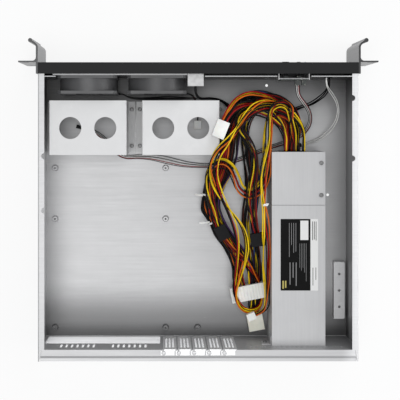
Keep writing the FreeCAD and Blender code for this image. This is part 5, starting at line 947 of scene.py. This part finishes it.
def tie_tail(name, root, aim, length):
    """The notched end of a cable tie, standing out from its head and drooping a little."""
    shape = bmesh.new()
    side = aim.cross(UP).normalized()
    rings = []
    for i in range(TAIL_STEPS + 1):
        t = i / TAIL_STEPS
        taper = 1 - max(0, t - TAPER_FROM) * TAPER_RATE
        middle = root + aim * (length * t) - UP * (TAIL_DROOP * t * t)
        wide = side * TAIL_WIDTH * taper / 2
        thick = UP * TAIL_THICKNESS * (NOTCH if i % 2 else 1.0) / 2
        rings.append([shape.verts.new(middle + s * wide + u * thick)
                      for s, u in ((-1, -1), (1, -1), (1, 1), (-1, 1))])
    skin(shape, rings)
    return mesh_of(name, shape, [FINISHES["white_nylon"]])


tails = joined(
    "tie_tails",
    tie_tail("front_tail", at(-0.0085, 0.1850, 0.0262), Vector((0.97, -0.10, 0.0)), 0.0120),
    tie_tail("rear_tail", at(-0.0180, 0.2225, 0.0262), Vector((0.98, 0.12, 0.0)), 0.0150),
    tie_tail("upper_tail", at(-0.0905, 0.1950, 0.0662), Vector((-0.98, -0.15, 0.0)), 0.0070),
)
new_piece("tie_tails", tails, "case", "white_nylon")


# ---------------------------------------------------------------- floor and light
FLOOR_REACH, FLOOR_Z, FLOOR_GLOW = 8.0, -0.0004, 0.86
# The part of the floor that is seen through the holes in the case's own floor.
BENEATH_X, BENEATH_Y = (-0.06, 0.214), (0.025, 0.380)


def pale_floor():
    """A bench that looks white, except beneath the case, where it is in shadow."""
    f = Finish("pale_floor")
    shade = f.blend(f.noise(scale=3, detail=3), (0.80, 0.80, 0.80), (0.84, 0.84, 0.84))
    plain = f.node("ShaderNodeBsdfPrincipled", None, {"Base Color": shade, "Roughness": 0.7})
    glow = f.node("ShaderNodeEmission", None, {"Color": (1, 1, 1, 1), "Strength": 1.0})
    ray = f.node("ShaderNodeLightPath").outputs
    seen = f.maths("MAXIMUM", ray["Is Camera Ray"], ray["Is Glossy Ray"])
    seen = f.maths("MAXIMUM", seen, ray["Is Transmission Ray"])
    x, y, _ = f.case_axes()
    beneath = (x > BENEATH_X[0]) * (x < BENEATH_X[1]) * (y > BENEATH_Y[0]) * (y < BENEATH_Y[1])
    return f.finished(f.node("ShaderNodeMixShader", None, {
        0: seen * (1 - beneath) * FLOOR_GLOW, 1: plain.outputs[0], 2: glow.outputs[0]}))


floor_mesh = bpy.data.meshes.new("bench_floor")
floor_mesh.from_pydata([(-FLOOR_REACH, -FLOOR_REACH, 0), (FLOOR_REACH, -FLOOR_REACH, 0),
                        (FLOOR_REACH, FLOOR_REACH, 0), (-FLOOR_REACH, FLOOR_REACH, 0)],
                       [], [(0, 1, 2, 3)])
floor_mesh.materials.append(pale_floor())
floor = new_object("bench_floor", floor_mesh)
floor.location.z = FLOOR_Z

sky = bpy.data.worlds.new("soft_room")
sky.use_nodes = True
background = sky.node_tree.nodes["Background"].inputs
background["Color"].default_value = (0.95, 0.97, 1.0, 1)
background["Strength"].default_value = 0.42
bpy.context.scene.world = sky


def soft_lamp(name, place, aim, width, power):
    """A square lamp that faces its aim."""
    lamp = bpy.data.lights.new(name, "AREA")
    lamp.shape, lamp.size, lamp.size_y, lamp.energy = "RECTANGLE", width, width, power
    thing = new_object(name, lamp)
    thing.location = place
    thing.rotation_euler = (Vector(aim) - Vector(place)).to_track_quat("-Z", "Y").to_euler()


soft_lamp("overhead_lamp", place=(0.3, 0.2, 2.6), aim=(0, 0, 0), width=1.8, power=34)
soft_lamp("front_lamp", place=(-0.8, -2.2, 1.7), aim=(0, 0, 0.05), width=1.2, power=13)
soft_lamp("side_lamp", place=(-2.0, 0.1, 1.0), aim=(0.2, 0, 0.05), width=1.2, power=15)
